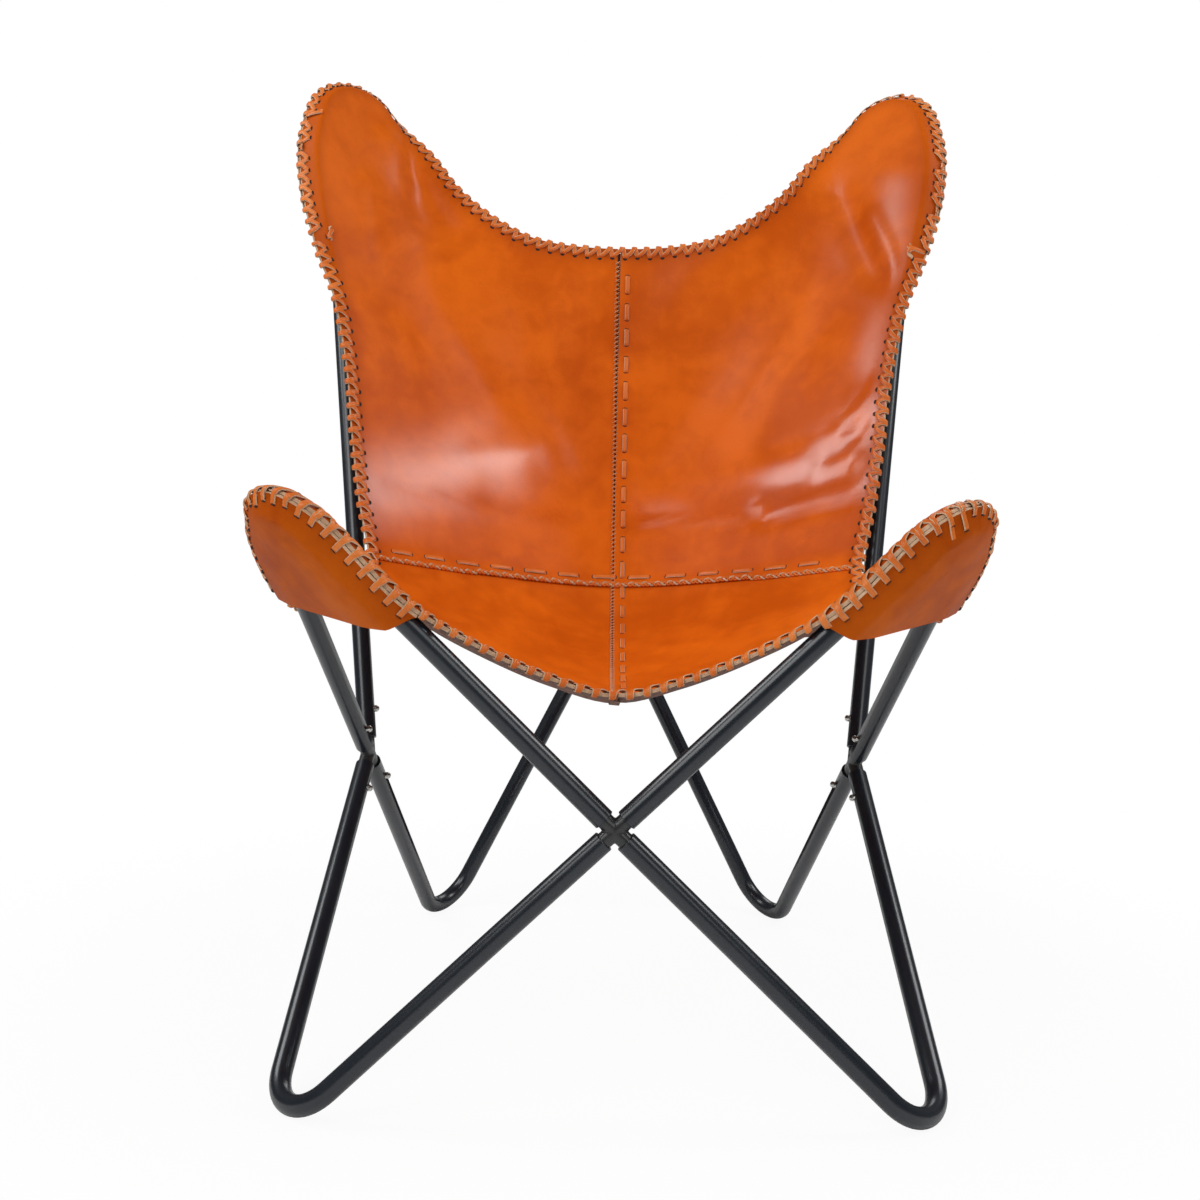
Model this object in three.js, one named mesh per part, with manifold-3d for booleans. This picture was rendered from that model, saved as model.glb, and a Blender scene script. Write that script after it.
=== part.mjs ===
// Butterfly sling chair: a knock-down frame of bent steel tube carrying one laced leather sling.
// Eight bent tubes push over the stubs of four welded crosses, and a sprung snap button locks each tube end.
// The sling is four leather panels with a pocket at each corner, and each pocket hangs on the bend of a horn.
// Millimetres, +Z up, the front of the chair faces -Y, and the origin is on the floor under the middle.
import * as THREE from "three";
import { mergeVertices } from "three/addons/utils/BufferGeometryUtils.js";
import Module from "manifold-3d";

const wasm = await Module();
wasm.setup();

// Driving dimensions of the tube frame
const TUBE_DIAMETER = 17;
const TUBE_WALL = 1.5;
const FRONT_HORN_RADIUS = 38;
const REAR_HORN_RADIUS = 34;
const FOOT_RADIUS = 40;
const RUNNING_GAP = 0.3;
const FLOOR_FLAT_DEPTH = 0.6;
const FLOOR_PASSES = 12;
const TUBE_SIDES = 12;
const BEND_STEPS = 8;

// Where the tubes' centre lines meet: the crosses, the feet and the horns
const FRONT_CROSS_Y = -290;
const FRONT_CROSS_Z = 226.5;
const BACK_CROSS_Y = 304;
const BACK_CROSS_Z = 341;
const SIDE_CROSS_X = 227;
const SIDE_CROSS_Y = 17;
const SIDE_CROSS_Z = 222.5;
const FRONT_FOOT_X = 260;
const FRONT_FOOT_Y = -296;
const REAR_FOOT_X = 186;
const REAR_FOOT_Y = 296;
const FRONT_HORN_X = 272;
const FRONT_HORN_Y = -284;
const FRONT_HORN_Z = 490;
const REAR_HORN_X = 325;
const REAR_HORN_Y = 318;
const REAR_HORN_Z = 979;

// Crosses, snap buttons and their springs
const STUB_WALL = 1.5;
const STUB_LENGTH = 62;
const STUB_BORE_START = 14;
const WELD_RADIUS = 8.4;
const TUBE_END_GAP = 2.4;
const BUTTON_FROM_TUBE_END = 27;
const BUTTON_DIAMETER = 6.3;
const BUTTON_PROUD = 4.5;
const BUTTON_HOLE_CLEARANCE = 0.35;
const BUTTON_SIDES = 10;
const DOME_STEPS = 3;
const SPRING_CLEARANCE = 0.26;
const SPRING_WIDTH_SHARE = 0.93;
const SPRING_THICKNESS = 0.8;
const SPRING_LEG = 14;
const SPRING_ARC_STEPS = 3;

// Leather sling, with the edge's overhang measured from the middle of the tube
const SLING_THICKNESS = 3;
const POCKET_THICKNESS = 2.4;
const SEAM_GAP = 0.6;
const FRONT_EDGE_OVERHANG = 18;
const REAR_EDGE_OVERHANG = 18;
const EDGE_RAMP = 12;
const EDGE_SAMPLES = 80;
const SLING_REST_GAP = 0.8;
const LIFT_SOFTNESS = 5;
const PANEL_STEPS = 14;
const POCKET_STEPS_ACROSS = 12;
const POCKET_STEPS_ALONG = 10;
const CUT_OVERRUN = 5;

// The sling's edges along the horns: shares of the rod's length, of the overhang and of the lift off the tube
const frontInnerEdgeShares = [[0.22, 1.05, 0.4], [0.39, 0.95, 0.3]];
const frontOuterEdgeShares = [[0.222, 1.55, -0.6], [0.348, 1.45, -0.8], [0.469, 1.28, 0]];
const rearInnerEdgeShares = [[0.26, 1.77, 1.9]];
const rearOuterEdgeShares = [
  [0.224, 2.05, -0.5], [0.295, 1.95, -0.5], [0.366, 1.5, 0.1], [0.43, 0.9, 0.95],
  [0.532, 0.5, 1.44], [0.61, 0.48, 1.57], [0.7, 0.38, 1.84],
];

// Round each horn's bend: shares of the overhang and of the lift at each third of the turn
const innerTurnShares = [[1, 0.1], [1.05, 0.2], [1.15, 0.3]];
const frontOuterTurnShares = [[1, -0.2], [1.05, -0.4], [1.2, -0.5]];
const rearOuterTurnShares = [[1.05, -0.1], [1.2, -0.3], [1.45, -0.5]];

// The sling between the horns: shares of a corner's distance from the middle, and of its height
const frontEdgeShares = [[0.397, 0.986, 0.739], [0.202, 0.937, 0.688]];
const frontMiddleShares = [0, 0.908, 0.657];
const topEdgeShares = [[0.536, 0.981, 0.806], [0.397, 0.95, 0.771], [0.263, 0.928, 0.751]];
const topMiddleShares = [0, 0.906, 0.742];
const sideEdgeShares = [[1.145, -0.312, 0.751], [1.084, -0.164, 0.755], [1.03, 0.02, 0.77]];
const seamEndShares = [1.031, 0.191, 0.822];
const crossSeamShares = [0.529, 0.46, 0.778];
const seatSeamShares = [[0, -0.44, 0.306], [0, 0, 0.296], [0, 0.314, 0.319]];
const seamMiddleShares = [0, 0.597, 0.377];
const backSeamShares = [[0, 0.755, 0.48], [0, 0.843, 0.613]];

// How much of each edge the pockets cover: shares along it from the tip
const frontPocketShares = [0.66, 0.54];
const rearPocketShares = [0.55, 0.47];

const tubeRadius = TUBE_DIAMETER / 2;
const boreRadius = tubeRadius - TUBE_WALL;
const stubRadius = boreRadius * Math.cos(Math.PI / TUBE_SIDES) - RUNNING_GAP;
const stubBoreRadius = stubRadius - STUB_WALL;
const springWidth = SPRING_WIDTH_SHARE * stubBoreRadius;
const springReach = Math.sqrt((stubBoreRadius - SPRING_CLEARANCE) ** 2 - (springWidth / 2) ** 2);
const buttonRadius = BUTTON_DIAMETER / 2;
const buttonHoleRadius = buttonRadius + BUTTON_HOLE_CLEARANCE;

const paintedSteel = { color: 0x101112, roughness: 0.38, metalness: 0.1 };
const zincSteel = { color: 0xb8bcc0, roughness: 0.25, metalness: 1 };
const springSteel = { color: 0x6c7076, roughness: 0.35, metalness: 1 };
const tanLeather = { color: 0xd2640f, roughness: 0.42, metalness: 0 };

const vec = (x, y, z) => new THREE.Vector3(x, y, z);
const mix = (a, b, t) => a.clone().lerp(b, t);
const smooth = (t) => {
  const x = THREE.MathUtils.clamp(t, 0, 1);
  return x * x * (3 - 2 * x);
};

// Solids
function solidOf(geometry) {
  const bare = geometry.index ? geometry.toNonIndexed() : geometry.clone();
  bare.deleteAttribute("normal");
  bare.deleteAttribute("uv");
  const merged = mergeVertices(bare, 1e-4);
  const index = merged.index.array;
  const kept = [];
  for (let i = 0; i < index.length; i += 3) {
    const [a, b, c] = [index[i], index[i + 1], index[i + 2]];
    if (a !== b && b !== c && c !== a) kept.push(a, b, c);
  }
  const vertProperties = merged.attributes.position.array;
  const made = new wasm.Manifold(
    new wasm.Mesh({ numProp: 3, vertProperties, triVerts: new Uint32Array(kept) }),
  );
  if (made.volume() > 0) return made;
  for (let i = 0; i < kept.length; i += 3) [kept[i + 1], kept[i + 2]] = [kept[i + 2], kept[i + 1]];
  return new wasm.Manifold(
    new wasm.Mesh({ numProp: 3, vertProperties, triVerts: new Uint32Array(kept) }),
  );
}

function geometryOf(solid) {
  const mesh = solid.getMesh();
  const geometry = new THREE.BufferGeometry();
  geometry.setAttribute("position", new THREE.BufferAttribute(mesh.vertProperties, 3));
  geometry.setIndex(new THREE.BufferAttribute(mesh.triVerts, 1));
  geometry.computeVertexNormals();
  return geometry;
}

// A round bar from one point to another, with as many sides as given.
function bar(from, to, radius, sides) {
  const length = from.distanceTo(to);
  const geometry = new THREE.CylinderGeometry(radius, radius, length, sides);
  geometry.applyQuaternion(
    new THREE.Quaternion().setFromUnitVectors(vec(0, 1, 0), to.clone().sub(from).normalize()),
  );
  const middle = mix(from, to, 0.5);
  return solidOf(geometry.translate(middle.x, middle.y, middle.z));
}

// Frame points, left side negative in x
const sides = [
  { name: "left", sign: -1 },
  { name: "right", sign: 1 },
];

// A bend between two straight legs: the legs' directions, the bend's centre and the plane's normal.
function bendAt(corner, endA, endB, radius) {
  const a = endA.clone().sub(corner).normalize();
  const b = endB.clone().sub(corner).normalize();
  const halfAngle = a.angleTo(b) / 2;
  const bisector = a.clone().add(b).normalize();
  const centre = corner.clone().addScaledVector(bisector, radius / Math.sin(halfAngle));
  const normal = a.clone().cross(b).normalize();
  const tangentLength = radius / Math.tan(halfAngle);
  return { corner, endA, endB, a, b, radius, halfAngle, bisector, centre, normal, tangentLength };
}

const crossFront = vec(0, FRONT_CROSS_Y, FRONT_CROSS_Z);
const crossBack = vec(0, BACK_CROSS_Y, BACK_CROSS_Z);
const crossSide = (sign) => vec(sign * SIDE_CROSS_X, SIDE_CROSS_Y, SIDE_CROSS_Z);

// The corner of a foot lies below the floor, where the underside of its bend just meets the floor.
function footBend(x, y, endA, endB) {
  const corner = vec(x, y, 0);
  for (let pass = 0; pass < FLOOR_PASSES; pass++) {
    const bend = bendAt(corner, endA, endB, FOOT_RADIUS);
    const steepest = Math.sqrt(1 - bend.normal.z * bend.normal.z);
    const lowest = bend.centre.z - FOOT_RADIUS * steepest - tubeRadius;
    corner.z -= lowest + FLOOR_FLAT_DEPTH;
  }
  return bendAt(corner, endA, endB, FOOT_RADIUS);
}

// The crosses, each with its four arms towards the corners of the tubes that it joins.
const tubes = [];
for (const { name, sign } of sides) {
  const side = crossSide(sign);
  tubes.push({
    name: `leg_front_${name}`,
    bend: footBend(sign * FRONT_FOOT_X, FRONT_FOOT_Y, crossFront, side),
    ends: ["front", name],
    arms: [`lower_${name}`, "lower_front"],
    onFloor: true,
  });
  tubes.push({
    name: `leg_rear_${name}`,
    bend: footBend(sign * REAR_FOOT_X, REAR_FOOT_Y, crossBack, side),
    ends: ["back", name],
    arms: [`lower_${name}`, "lower_rear"],
    onFloor: true,
  });
  tubes.push({
    name: `horn_front_${name}`,
    bend: bendAt(vec(sign * FRONT_HORN_X, FRONT_HORN_Y, FRONT_HORN_Z), crossFront, side, FRONT_HORN_RADIUS),
    ends: ["front", name],
    arms: [`upper_${name}`, "upper_front"],
  });
  tubes.push({
    name: `horn_rear_${name}`,
    bend: bendAt(vec(sign * REAR_HORN_X, REAR_HORN_Y, REAR_HORN_Z), crossBack, side, REAR_HORN_RADIUS),
    ends: ["back", name],
    arms: [`upper_${name}`, "upper_rear"],
  });
}

const crosses = {
  front: { at: crossFront, inward: vec(0, 1, 0), arms: [] },
  back: { at: crossBack, inward: vec(0, -1, 0), arms: [] },
  left: { at: crossSide(-1), inward: vec(1, 0, 0), arms: [] },
  right: { at: crossSide(1), inward: vec(-1, 0, 0), arms: [] },
};
for (const tube of tubes) {
  tube.ends.forEach((cross, i) => {
    const away = (i === 0 ? tube.bend.a : tube.bend.b).clone().negate();
    crosses[cross].arms.push({ name: tube.arms[i], direction: away });
  });
}
for (const cross of Object.values(crosses)) {
  let narrowest = Math.PI;
  for (const [i, one] of cross.arms.entries()) {
    for (const other of cross.arms.slice(i + 1)) {
      narrowest = Math.min(narrowest, one.direction.angleTo(other.direction));
    }
  }
  cross.tubeStart = tubeRadius / Math.tan(narrowest / 2) + TUBE_END_GAP;
  for (const arm of cross.arms) {
    const along = arm.direction;
    arm.buttonAxis = cross.inward.clone().addScaledVector(along, -cross.inward.dot(along)).normalize();
    arm.buttonAt = cross.at.clone().addScaledVector(along, cross.tubeStart + BUTTON_FROM_TUBE_END);
  }
}

// The centre line of a bent tube: straight, bend, straight, with one step for each straight.
class BentLine extends THREE.Curve {
  constructor(bend, startGap, endGap) {
    super();
    const { corner, a, b, centre, normal, tangentLength, halfAngle } = bend;
    this.from = corner.clone().addScaledVector(a, corner.distanceTo(bend.endA) - startGap);
    this.to = corner.clone().addScaledVector(b, corner.distanceTo(bend.endB) - endGap);
    this.bendStart = corner.clone().addScaledVector(a, tangentLength);
    this.centre = centre;
    this.normal = normal;
    this.sweep = Math.PI - 2 * halfAngle;
    this.share = 1 / (BEND_STEPS + 2);
  }
  onBend(t) {
    const spoke = this.bendStart.clone().sub(this.centre);
    return spoke.applyAxisAngle(this.normal, -this.sweep * t).add(this.centre);
  }
  getPoint(t) {
    const { share } = this;
    if (t < share) return mix(this.from, this.bendStart, t / share);
    if (t > 1 - share) return mix(this.onBend(1), this.to, (t - 1 + share) / share);
    return this.onBend((t - share) / (1 - 2 * share));
  }
  getTangent(t) {
    const bendShare = THREE.MathUtils.clamp((t - this.share) / (1 - 2 * this.share), 0, 1);
    const along = this.bendStart.clone().sub(this.from).normalize();
    return along.applyAxisAngle(this.normal, -this.sweep * bendShare);
  }
  getUtoTmapping(u) {
    return u;
  }
}

function ringShape(outer, inner) {
  const corners = (radius) =>
    Array.from({ length: TUBE_SIDES }, (_, i) => {
      const angle = ((i + 0.5) / TUBE_SIDES) * 2 * Math.PI;
      return new THREE.Vector2(radius * Math.cos(angle), radius * Math.sin(angle));
    });
  const shape = new THREE.Shape(corners(outer));
  shape.holes.push(new THREE.Path(corners(inner)));
  return shape;
}

function buttonHole(arm) {
  const reach = tubeRadius + CUT_OVERRUN;
  const outside = arm.buttonAt.clone().addScaledVector(arm.buttonAxis, reach);
  return bar(arm.buttonAt, outside, buttonHoleRadius, BUTTON_SIDES);
}

const armOf = (cross, name) => crosses[cross].arms.find((arm) => arm.name === name);

function tubeSolid(tube) {
  const line = new BentLine(
    tube.bend,
    crosses[tube.ends[0]].tubeStart,
    crosses[tube.ends[1]].tubeStart,
  );
  let solid = solidOf(
    new THREE.ExtrudeGeometry(ringShape(tubeRadius, boreRadius), {
      steps: BEND_STEPS + 2,
      extrudePath: line,
      bevelEnabled: false,
    }),
  );
  tube.ends.forEach((cross, i) => {
    solid = solid.subtract(buttonHole(armOf(cross, tube.arms[i])));
  });
  if (tube.onFloor) {
    const width = 2 * FRONT_FOOT_X + 2 * TUBE_DIAMETER;
    const below = new THREE.BoxGeometry(2 * width, 2 * width, TUBE_DIAMETER);
    solid = solid.subtract(solidOf(below.translate(0, 0, -TUBE_DIAMETER / 2)));
  }
  return solid;
}

function crossSolid(cross) {
  const ball = new THREE.SphereGeometry(WELD_RADIUS, TUBE_SIDES, TUBE_SIDES / 2);
  let solid = solidOf(ball.translate(cross.at.x, cross.at.y, cross.at.z));
  const tip = (arm, distance) => cross.at.clone().addScaledVector(arm.direction, distance);
  for (const arm of cross.arms) {
    solid = solid.add(bar(cross.at, tip(arm, STUB_LENGTH), stubRadius, TUBE_SIDES));
  }
  for (const arm of cross.arms) {
    const bore = bar(
      tip(arm, STUB_BORE_START),
      tip(arm, STUB_LENGTH + CUT_OVERRUN),
      stubBoreRadius,
      TUBE_SIDES,
    );
    solid = solid.subtract(bore).subtract(buttonHole(arm));
  }
  return solid;
}

// Puts a shape drawn with x along the stub, y along the button and z across into its place on an arm.
function onArm(geometry, arm) {
  const across = arm.direction.clone().cross(arm.buttonAxis);
  const place = new THREE.Matrix4().makeBasis(arm.direction, arm.buttonAxis, across);
  place.setPosition(arm.buttonAt);
  return geometry.applyMatrix4(place);
}

function buttonSolid(arm) {
  const top = tubeRadius + BUTTON_PROUD;
  const dome = new THREE.EllipseCurve(0, top - buttonRadius, buttonRadius, buttonRadius, 0, Math.PI / 2);
  const profile = [
    new THREE.Vector2(0, springReach - SPRING_THICKNESS),
    new THREE.Vector2(buttonRadius, springReach - SPRING_THICKNESS),
    ...dome.getPoints(DOME_STEPS),
  ];
  profile[profile.length - 1].x = 0;
  const pin = solidOf(onArm(new THREE.LatheGeometry(profile, BUTTON_SIDES), arm));
  const leg = new THREE.BoxGeometry(2 * SPRING_LEG - RUNNING_GAP, SPRING_THICKNESS, springWidth);
  leg.translate(RUNNING_GAP / 2, springReach - SPRING_THICKNESS / 2, 0);
  return pin.add(solidOf(onArm(leg, arm)));
}

// The rest of the folded spring: the bend at the inner end and the leg along the far wall.
function springSolid(arm) {
  const profile = new THREE.Shape();
  const inner = springReach - SPRING_THICKNESS;
  profile.moveTo(SPRING_LEG, -springReach);
  profile.lineTo(-SPRING_LEG, -springReach);
  profile.absarc(-SPRING_LEG, 0, springReach, -Math.PI / 2, Math.PI / 2, true);
  profile.lineTo(-SPRING_LEG, inner);
  profile.absarc(-SPRING_LEG, 0, inner, Math.PI / 2, -Math.PI / 2, false);
  profile.lineTo(SPRING_LEG, -inner);
  const strip = new THREE.ExtrudeGeometry(profile, {
    depth: springWidth,
    bevelEnabled: false,
    curveSegments: SPRING_ARC_STEPS,
  });
  return solidOf(onArm(strip.translate(0, 0, -springWidth / 2), arm));
}

// The sling's edge near a horn follows the tube, just past it, and the sling lies on the inner side.
const slingLift = tubeRadius + SLING_REST_GAP + SLING_THICKNESS / 2;
const pocketDrop = tubeRadius + RUNNING_GAP + POCKET_THICKNESS / 2;
const bendOf = (name) => tubes.find((tube) => tube.name === name).bend;

// The unit vector that points to the sitter's side of a horn's plane
function innerNormal(bend) {
  const normal = bend.normal.clone();
  const towardsMiddle = vec(-bend.corner.x, -bend.corner.y, 0);
  return normal.dot(towardsMiddle) < 0 ? normal.negate() : normal;
}

function hornEdge(bend, leg, legLength, overhang, turnShares, legShares) {
  const up = innerNormal(bend);
  const across = leg.clone().addScaledVector(bend.bisector, -leg.dot(bend.bisector)).normalize();
  const outward = across.clone().addScaledVector(leg, -across.dot(leg)).normalize();
  const quarterTurn = Math.PI / 2 - bend.halfAngle;
  const turned = turnShares.map(([overhangShare, liftShare], i) => {
    const angle = (quarterTurn * (i + 1)) / turnShares.length;
    const spoke = bend.bisector.clone().multiplyScalar(-Math.cos(angle));
    spoke.addScaledVector(across, Math.sin(angle));
    const reach = bend.radius + overhangShare * overhang;
    return bend.centre.clone().addScaledVector(spoke, reach).addScaledVector(up, liftShare * slingLift);
  });
  const straight = legShares.map(([lengthShare, overhangShare, liftShare]) =>
    bend.corner
      .clone()
      .addScaledVector(leg, lengthShare * legLength)
      .addScaledVector(outward, overhangShare * overhang)
      .addScaledVector(up, liftShare * slingLift),
  );
  return [...turned, ...straight];
}

const tipOf = (bend, overhang) =>
  bend.centre.clone().addScaledVector(bend.bisector, -bend.radius - overhang);

// The left half of the edges, each from the tip of a horn
const frontHorn = bendOf("horn_front_left");
const rearHorn = bendOf("horn_rear_left");
const towardsBack = vec(-SIDE_CROSS_X, BACK_CROSS_Y, FRONT_HORN_Z);
const placed = (anchor, [x, y, z]) => vec(anchor.x * x, anchor.y * y, anchor.z * z);
const lengthA = (bend) => bend.corner.distanceTo(bend.endA);
const lengthB = (bend) => bend.corner.distanceTo(bend.endB);
const frontTip = tipOf(frontHorn, FRONT_EDGE_OVERHANG);
const rearTip = tipOf(rearHorn, REAR_EDGE_OVERHANG);
const frontHalf = [
  frontTip,
  ...hornEdge(frontHorn, frontHorn.a, lengthA(frontHorn), FRONT_EDGE_OVERHANG,
    innerTurnShares, frontInnerEdgeShares),
  ...frontEdgeShares.map((shares) => placed(frontHorn.corner, shares)),
];
const topHalf = [
  rearTip,
  ...hornEdge(rearHorn, rearHorn.a, lengthA(rearHorn), REAR_EDGE_OVERHANG,
    innerTurnShares, rearInnerEdgeShares),
  ...topEdgeShares.map((shares) => placed(rearHorn.corner, shares)),
];
const sideFront = [
  frontTip,
  ...hornEdge(frontHorn, frontHorn.b, lengthB(frontHorn), FRONT_EDGE_OVERHANG,
    frontOuterTurnShares, frontOuterEdgeShares),
  ...sideEdgeShares.map((shares) => placed(towardsBack, shares)),
];
const sideRear = [
  rearTip,
  ...hornEdge(rearHorn, rearHorn.b, lengthB(rearHorn), REAR_EDGE_OVERHANG,
    rearOuterTurnShares, rearOuterEdgeShares),
];
const frontMiddle = placed(frontHorn.corner, frontMiddleShares);
const seamMiddle = placed(rearHorn.corner, seamMiddleShares);
const seamEnd = placed(towardsBack, seamEndShares);
const seamQuarter = placed(towardsBack, crossSeamShares);
const topMiddle = placed(rearHorn.corner, topMiddleShares);

const flip = (p) => vec(-p.x, p.y, p.z);
const curve = (points) => new THREE.CatmullRomCurve3(points, false, "centripetal");
const mirrored = (half, middle) => [...half, middle, ...half.map(flip).reverse()];
const frontEdge = curve(mirrored(frontHalf, frontMiddle));
const topEdge = curve(mirrored(topHalf, topMiddle));
const sideEdge = curve([...sideFront, seamEnd, ...sideRear.reverse()]);
const sideSeamShare = sideFront.length / (sideFront.length + sideRear.length);
const centreSeam = curve([
  frontMiddle,
  ...seatSeamShares.map((shares) => placed(rearHorn.corner, shares)),
  seamMiddle,
  ...backSeamShares.map((shares) => placed(rearHorn.corner, shares)),
  topMiddle,
]);
const centreSeamShare = (seatSeamShares.length + 1) / (seatSeamShares.length + backSeamShares.length + 2);
const crossSeam = curve([seamEnd, seamQuarter, seamMiddle, flip(seamQuarter), flip(seamEnd)]);

// One quarter of the sling between its four edges, blended so that neighbours join smoothly.
function quarter({ out, side, middle, across }) {
  const corners = [out(0), out(1), across(0), across(1)];
  return (u, v) => {
    const [hu, hv] = [smooth(u), smooth(v)];
    const point = out(u).multiplyScalar(1 - hv).addScaledVector(across(u), hv);
    point.addScaledVector(side(v), 1 - hu).addScaledVector(middle(v), hu);
    point.addScaledVector(corners[0], -(1 - hu) * (1 - hv)).addScaledVector(corners[1], -hu * (1 - hv));
    return point.addScaledVector(corners[2], -(1 - hu) * hv).addScaledVector(corners[3], -hu * hv);
  };
}

const seatEdges = {
  out: (u) => frontEdge.getPoint(u / 2),
  side: (v) => sideEdge.getPoint(v * sideSeamShare),
  middle: (v) => centreSeam.getPoint(v * centreSeamShare),
  across: (u) => crossSeam.getPoint(u / 2),
};
const backEdges = {
  out: (u) => topEdge.getPoint(u / 2),
  side: (v) => sideEdge.getPoint(1 - v * (1 - sideSeamShare)),
  middle: (v) => centreSeam.getPoint(1 - v * (1 - centreSeamShare)),
  across: (u) => crossSeam.getPoint(u / 2),
};

// Points along the two outer edges, to measure how far inside them a point lies.
function edgeSamples({ out, side }) {
  const samples = [];
  for (let k = 0; k <= EDGE_SAMPLES; k++) samples.push(out(k / EDGE_SAMPLES), side(k / EDGE_SAMPLES));
  return samples;
}
const insetOf = (p, samples) => Math.min(...samples.map((sample) => sample.distanceTo(p)));

// Raises a point off the horn's plane, on one side of it, once it lies inside the edge.
function clearOfHorn(p, bend, samples, side, clearance) {
  const up = innerNormal(bend).multiplyScalar(side);
  const height = p.clone().sub(bend.corner).dot(up);
  const short = clearance - height;
  const needed = (short + Math.hypot(short, LIFT_SOFTNESS)) / 2;
  return p.addScaledVector(up, needed * smooth(insetOf(p, samples) / EDGE_RAMP));
}

// A closed shell of even thickness about a grid of points.
function shell(grid, thickness, sign) {
  const rows = grid.length;
  const columns = grid[0].length;
  const flat = grid.flat().map((p) => (sign > 0 ? flip(p) : p));
  const middle = new THREE.BufferGeometry().setFromPoints(flat);
  const index = [];
  const at = (i, j) => i * columns + j;
  for (let i = 0; i + 1 < rows; i++) {
    for (let j = 0; j + 1 < columns; j++) {
      index.push(at(i, j), at(i + 1, j), at(i + 1, j + 1), at(i, j), at(i + 1, j + 1), at(i, j + 1));
    }
  }
  middle.setIndex(index);
  middle.computeVertexNormals();
  const normals = middle.getAttribute("normal");
  const points = [];
  for (const half of [0.5, -0.5]) {
    flat.forEach((p, k) => {
      const normal = vec(normals.getX(k), normals.getY(k), normals.getZ(k));
      points.push(p.clone().addScaledVector(normal, half * thickness));
    });
  }
  const count = flat.length;
  const faces = [...index];
  for (let k = 0; k < index.length; k += 3) {
    faces.push(index[k] + count, index[k + 2] + count, index[k + 1] + count);
  }
  const rim = [];
  for (let i = 0; i < rows; i++) rim.push(at(i, 0));
  for (let j = 1; j < columns; j++) rim.push(at(rows - 1, j));
  for (let i = rows - 2; i >= 0; i--) rim.push(at(i, columns - 1));
  for (let j = columns - 2; j > 0; j--) rim.push(at(0, j));
  rim.forEach((p, k) => {
    const q = rim[(k + 1) % rim.length];
    faces.push(p, p + count, q + count, p, q + count, q);
  });
  const closed = new THREE.BufferGeometry().setFromPoints(points);
  closed.setIndex(faces);
  return solidOf(closed);
}

// Steps that lie closer together near an outer edge, where the leather bends most
const closerAtEdge = (step) => 1 - Math.cos((Math.PI * step) / PANEL_STEPS / 2);

function panelSolid(edges, bend, sign) {
  const patch = quarter(edges);
  const samples = edgeSamples(edges);
  const reachAcross = 1 - SEAM_GAP / edges.across(0).distanceTo(edges.across(1));
  const reachAlong = 1 - SEAM_GAP / edges.middle(0).distanceTo(edges.middle(1));
  const grid = [];
  for (let i = 0; i <= PANEL_STEPS; i++) {
    const row = [];
    for (let j = 0; j <= PANEL_STEPS; j++) {
      const p = patch(reachAcross * closerAtEdge(i), reachAlong * closerAtEdge(j));
      row.push(clearOfHorn(p, bend, samples, 1, slingLift));
    }
    grid.push(row);
  }
  return shell(grid, SLING_THICKNESS, sign);
}

// A pocket meets the sling along both edges of a corner and goes round the outside of the tube.
function pocketSolid(edges, bend, [outShare, sideShare], sign) {
  const samples = edgeSamples(edges);
  const belowSling = (SLING_THICKNESS + POCKET_THICKNESS) / 2 + RUNNING_GAP;
  const down = innerNormal(bend).negate();
  const grid = [];
  for (let i = 0; i <= POCKET_STEPS_ALONG; i++) {
    const q = i / POCKET_STEPS_ALONG;
    const row = [];
    for (let j = 0; j <= POCKET_STEPS_ACROSS; j++) {
      const s = (1 - Math.cos((Math.PI * j) / POCKET_STEPS_ACROSS)) / 2;
      const p = mix(edges.out(q * outShare), edges.side(q * sideShare), s);
      row.push(clearOfHorn(p, bend, samples, -1, pocketDrop).addScaledVector(down, belowSling));
    }
    grid.push(row);
  }
  return shell(grid, POCKET_THICKNESS, sign);
}

// Assembly
const chair = new THREE.Group();

function put(name, solid, look) {
  const mesh = new THREE.Mesh(geometryOf(solid), new THREE.MeshStandardMaterial(look));
  mesh.name = name;
  chair.add(mesh);
}

for (const [name, cross] of Object.entries(crosses)) {
  put(`cross_${name}`, crossSolid(cross), paintedSteel);
  for (const arm of cross.arms) {
    put(`button_${name}_${arm.name}`, buttonSolid(arm), zincSteel);
    put(`spring_${name}_${arm.name}`, springSolid(arm), springSteel);
  }
}
for (const tube of tubes) put(tube.name, tubeSolid(tube), paintedSteel);

for (const { name, sign } of sides) {
  put(`panel_seat_${name}`, panelSolid(seatEdges, frontHorn, sign), tanLeather);
  put(`panel_back_${name}`, panelSolid(backEdges, rearHorn, sign), tanLeather);
  put(`pocket_front_${name}`, pocketSolid(seatEdges, frontHorn, frontPocketShares, sign), tanLeather);
  put(`pocket_rear_${name}`, pocketSolid(backEdges, rearHorn, rearPocketShares, sign), tanLeather);
}

// The origin sits under the middle of the chair's outline.
const outline = new THREE.Box3().setFromObject(chair);
chair.position.y = -(outline.min.y + outline.max.y) / 2;
chair.updateMatrixWorld(true);

export default chair;
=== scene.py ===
"""A butterfly sling chair: bent tubes on welded crosses, snap buttons, and a laced leather sling.

The chair's plain solids are loaded first. Each class below builds one group of finer pieces round them.
The chair's sizes are in millimetres and are turned to metres when a mesh is made. +Z is up, and the front of
the chair is towards -Y.
"""

from __future__ import annotations

import logging
import math
from dataclasses import dataclass, field
from enum import Enum
from typing import Iterable, Sequence, Union

import bmesh
import bpy
import numpy as np
from mathutils import Matrix, Vector
from mathutils.bvhtree import BVHTree


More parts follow.
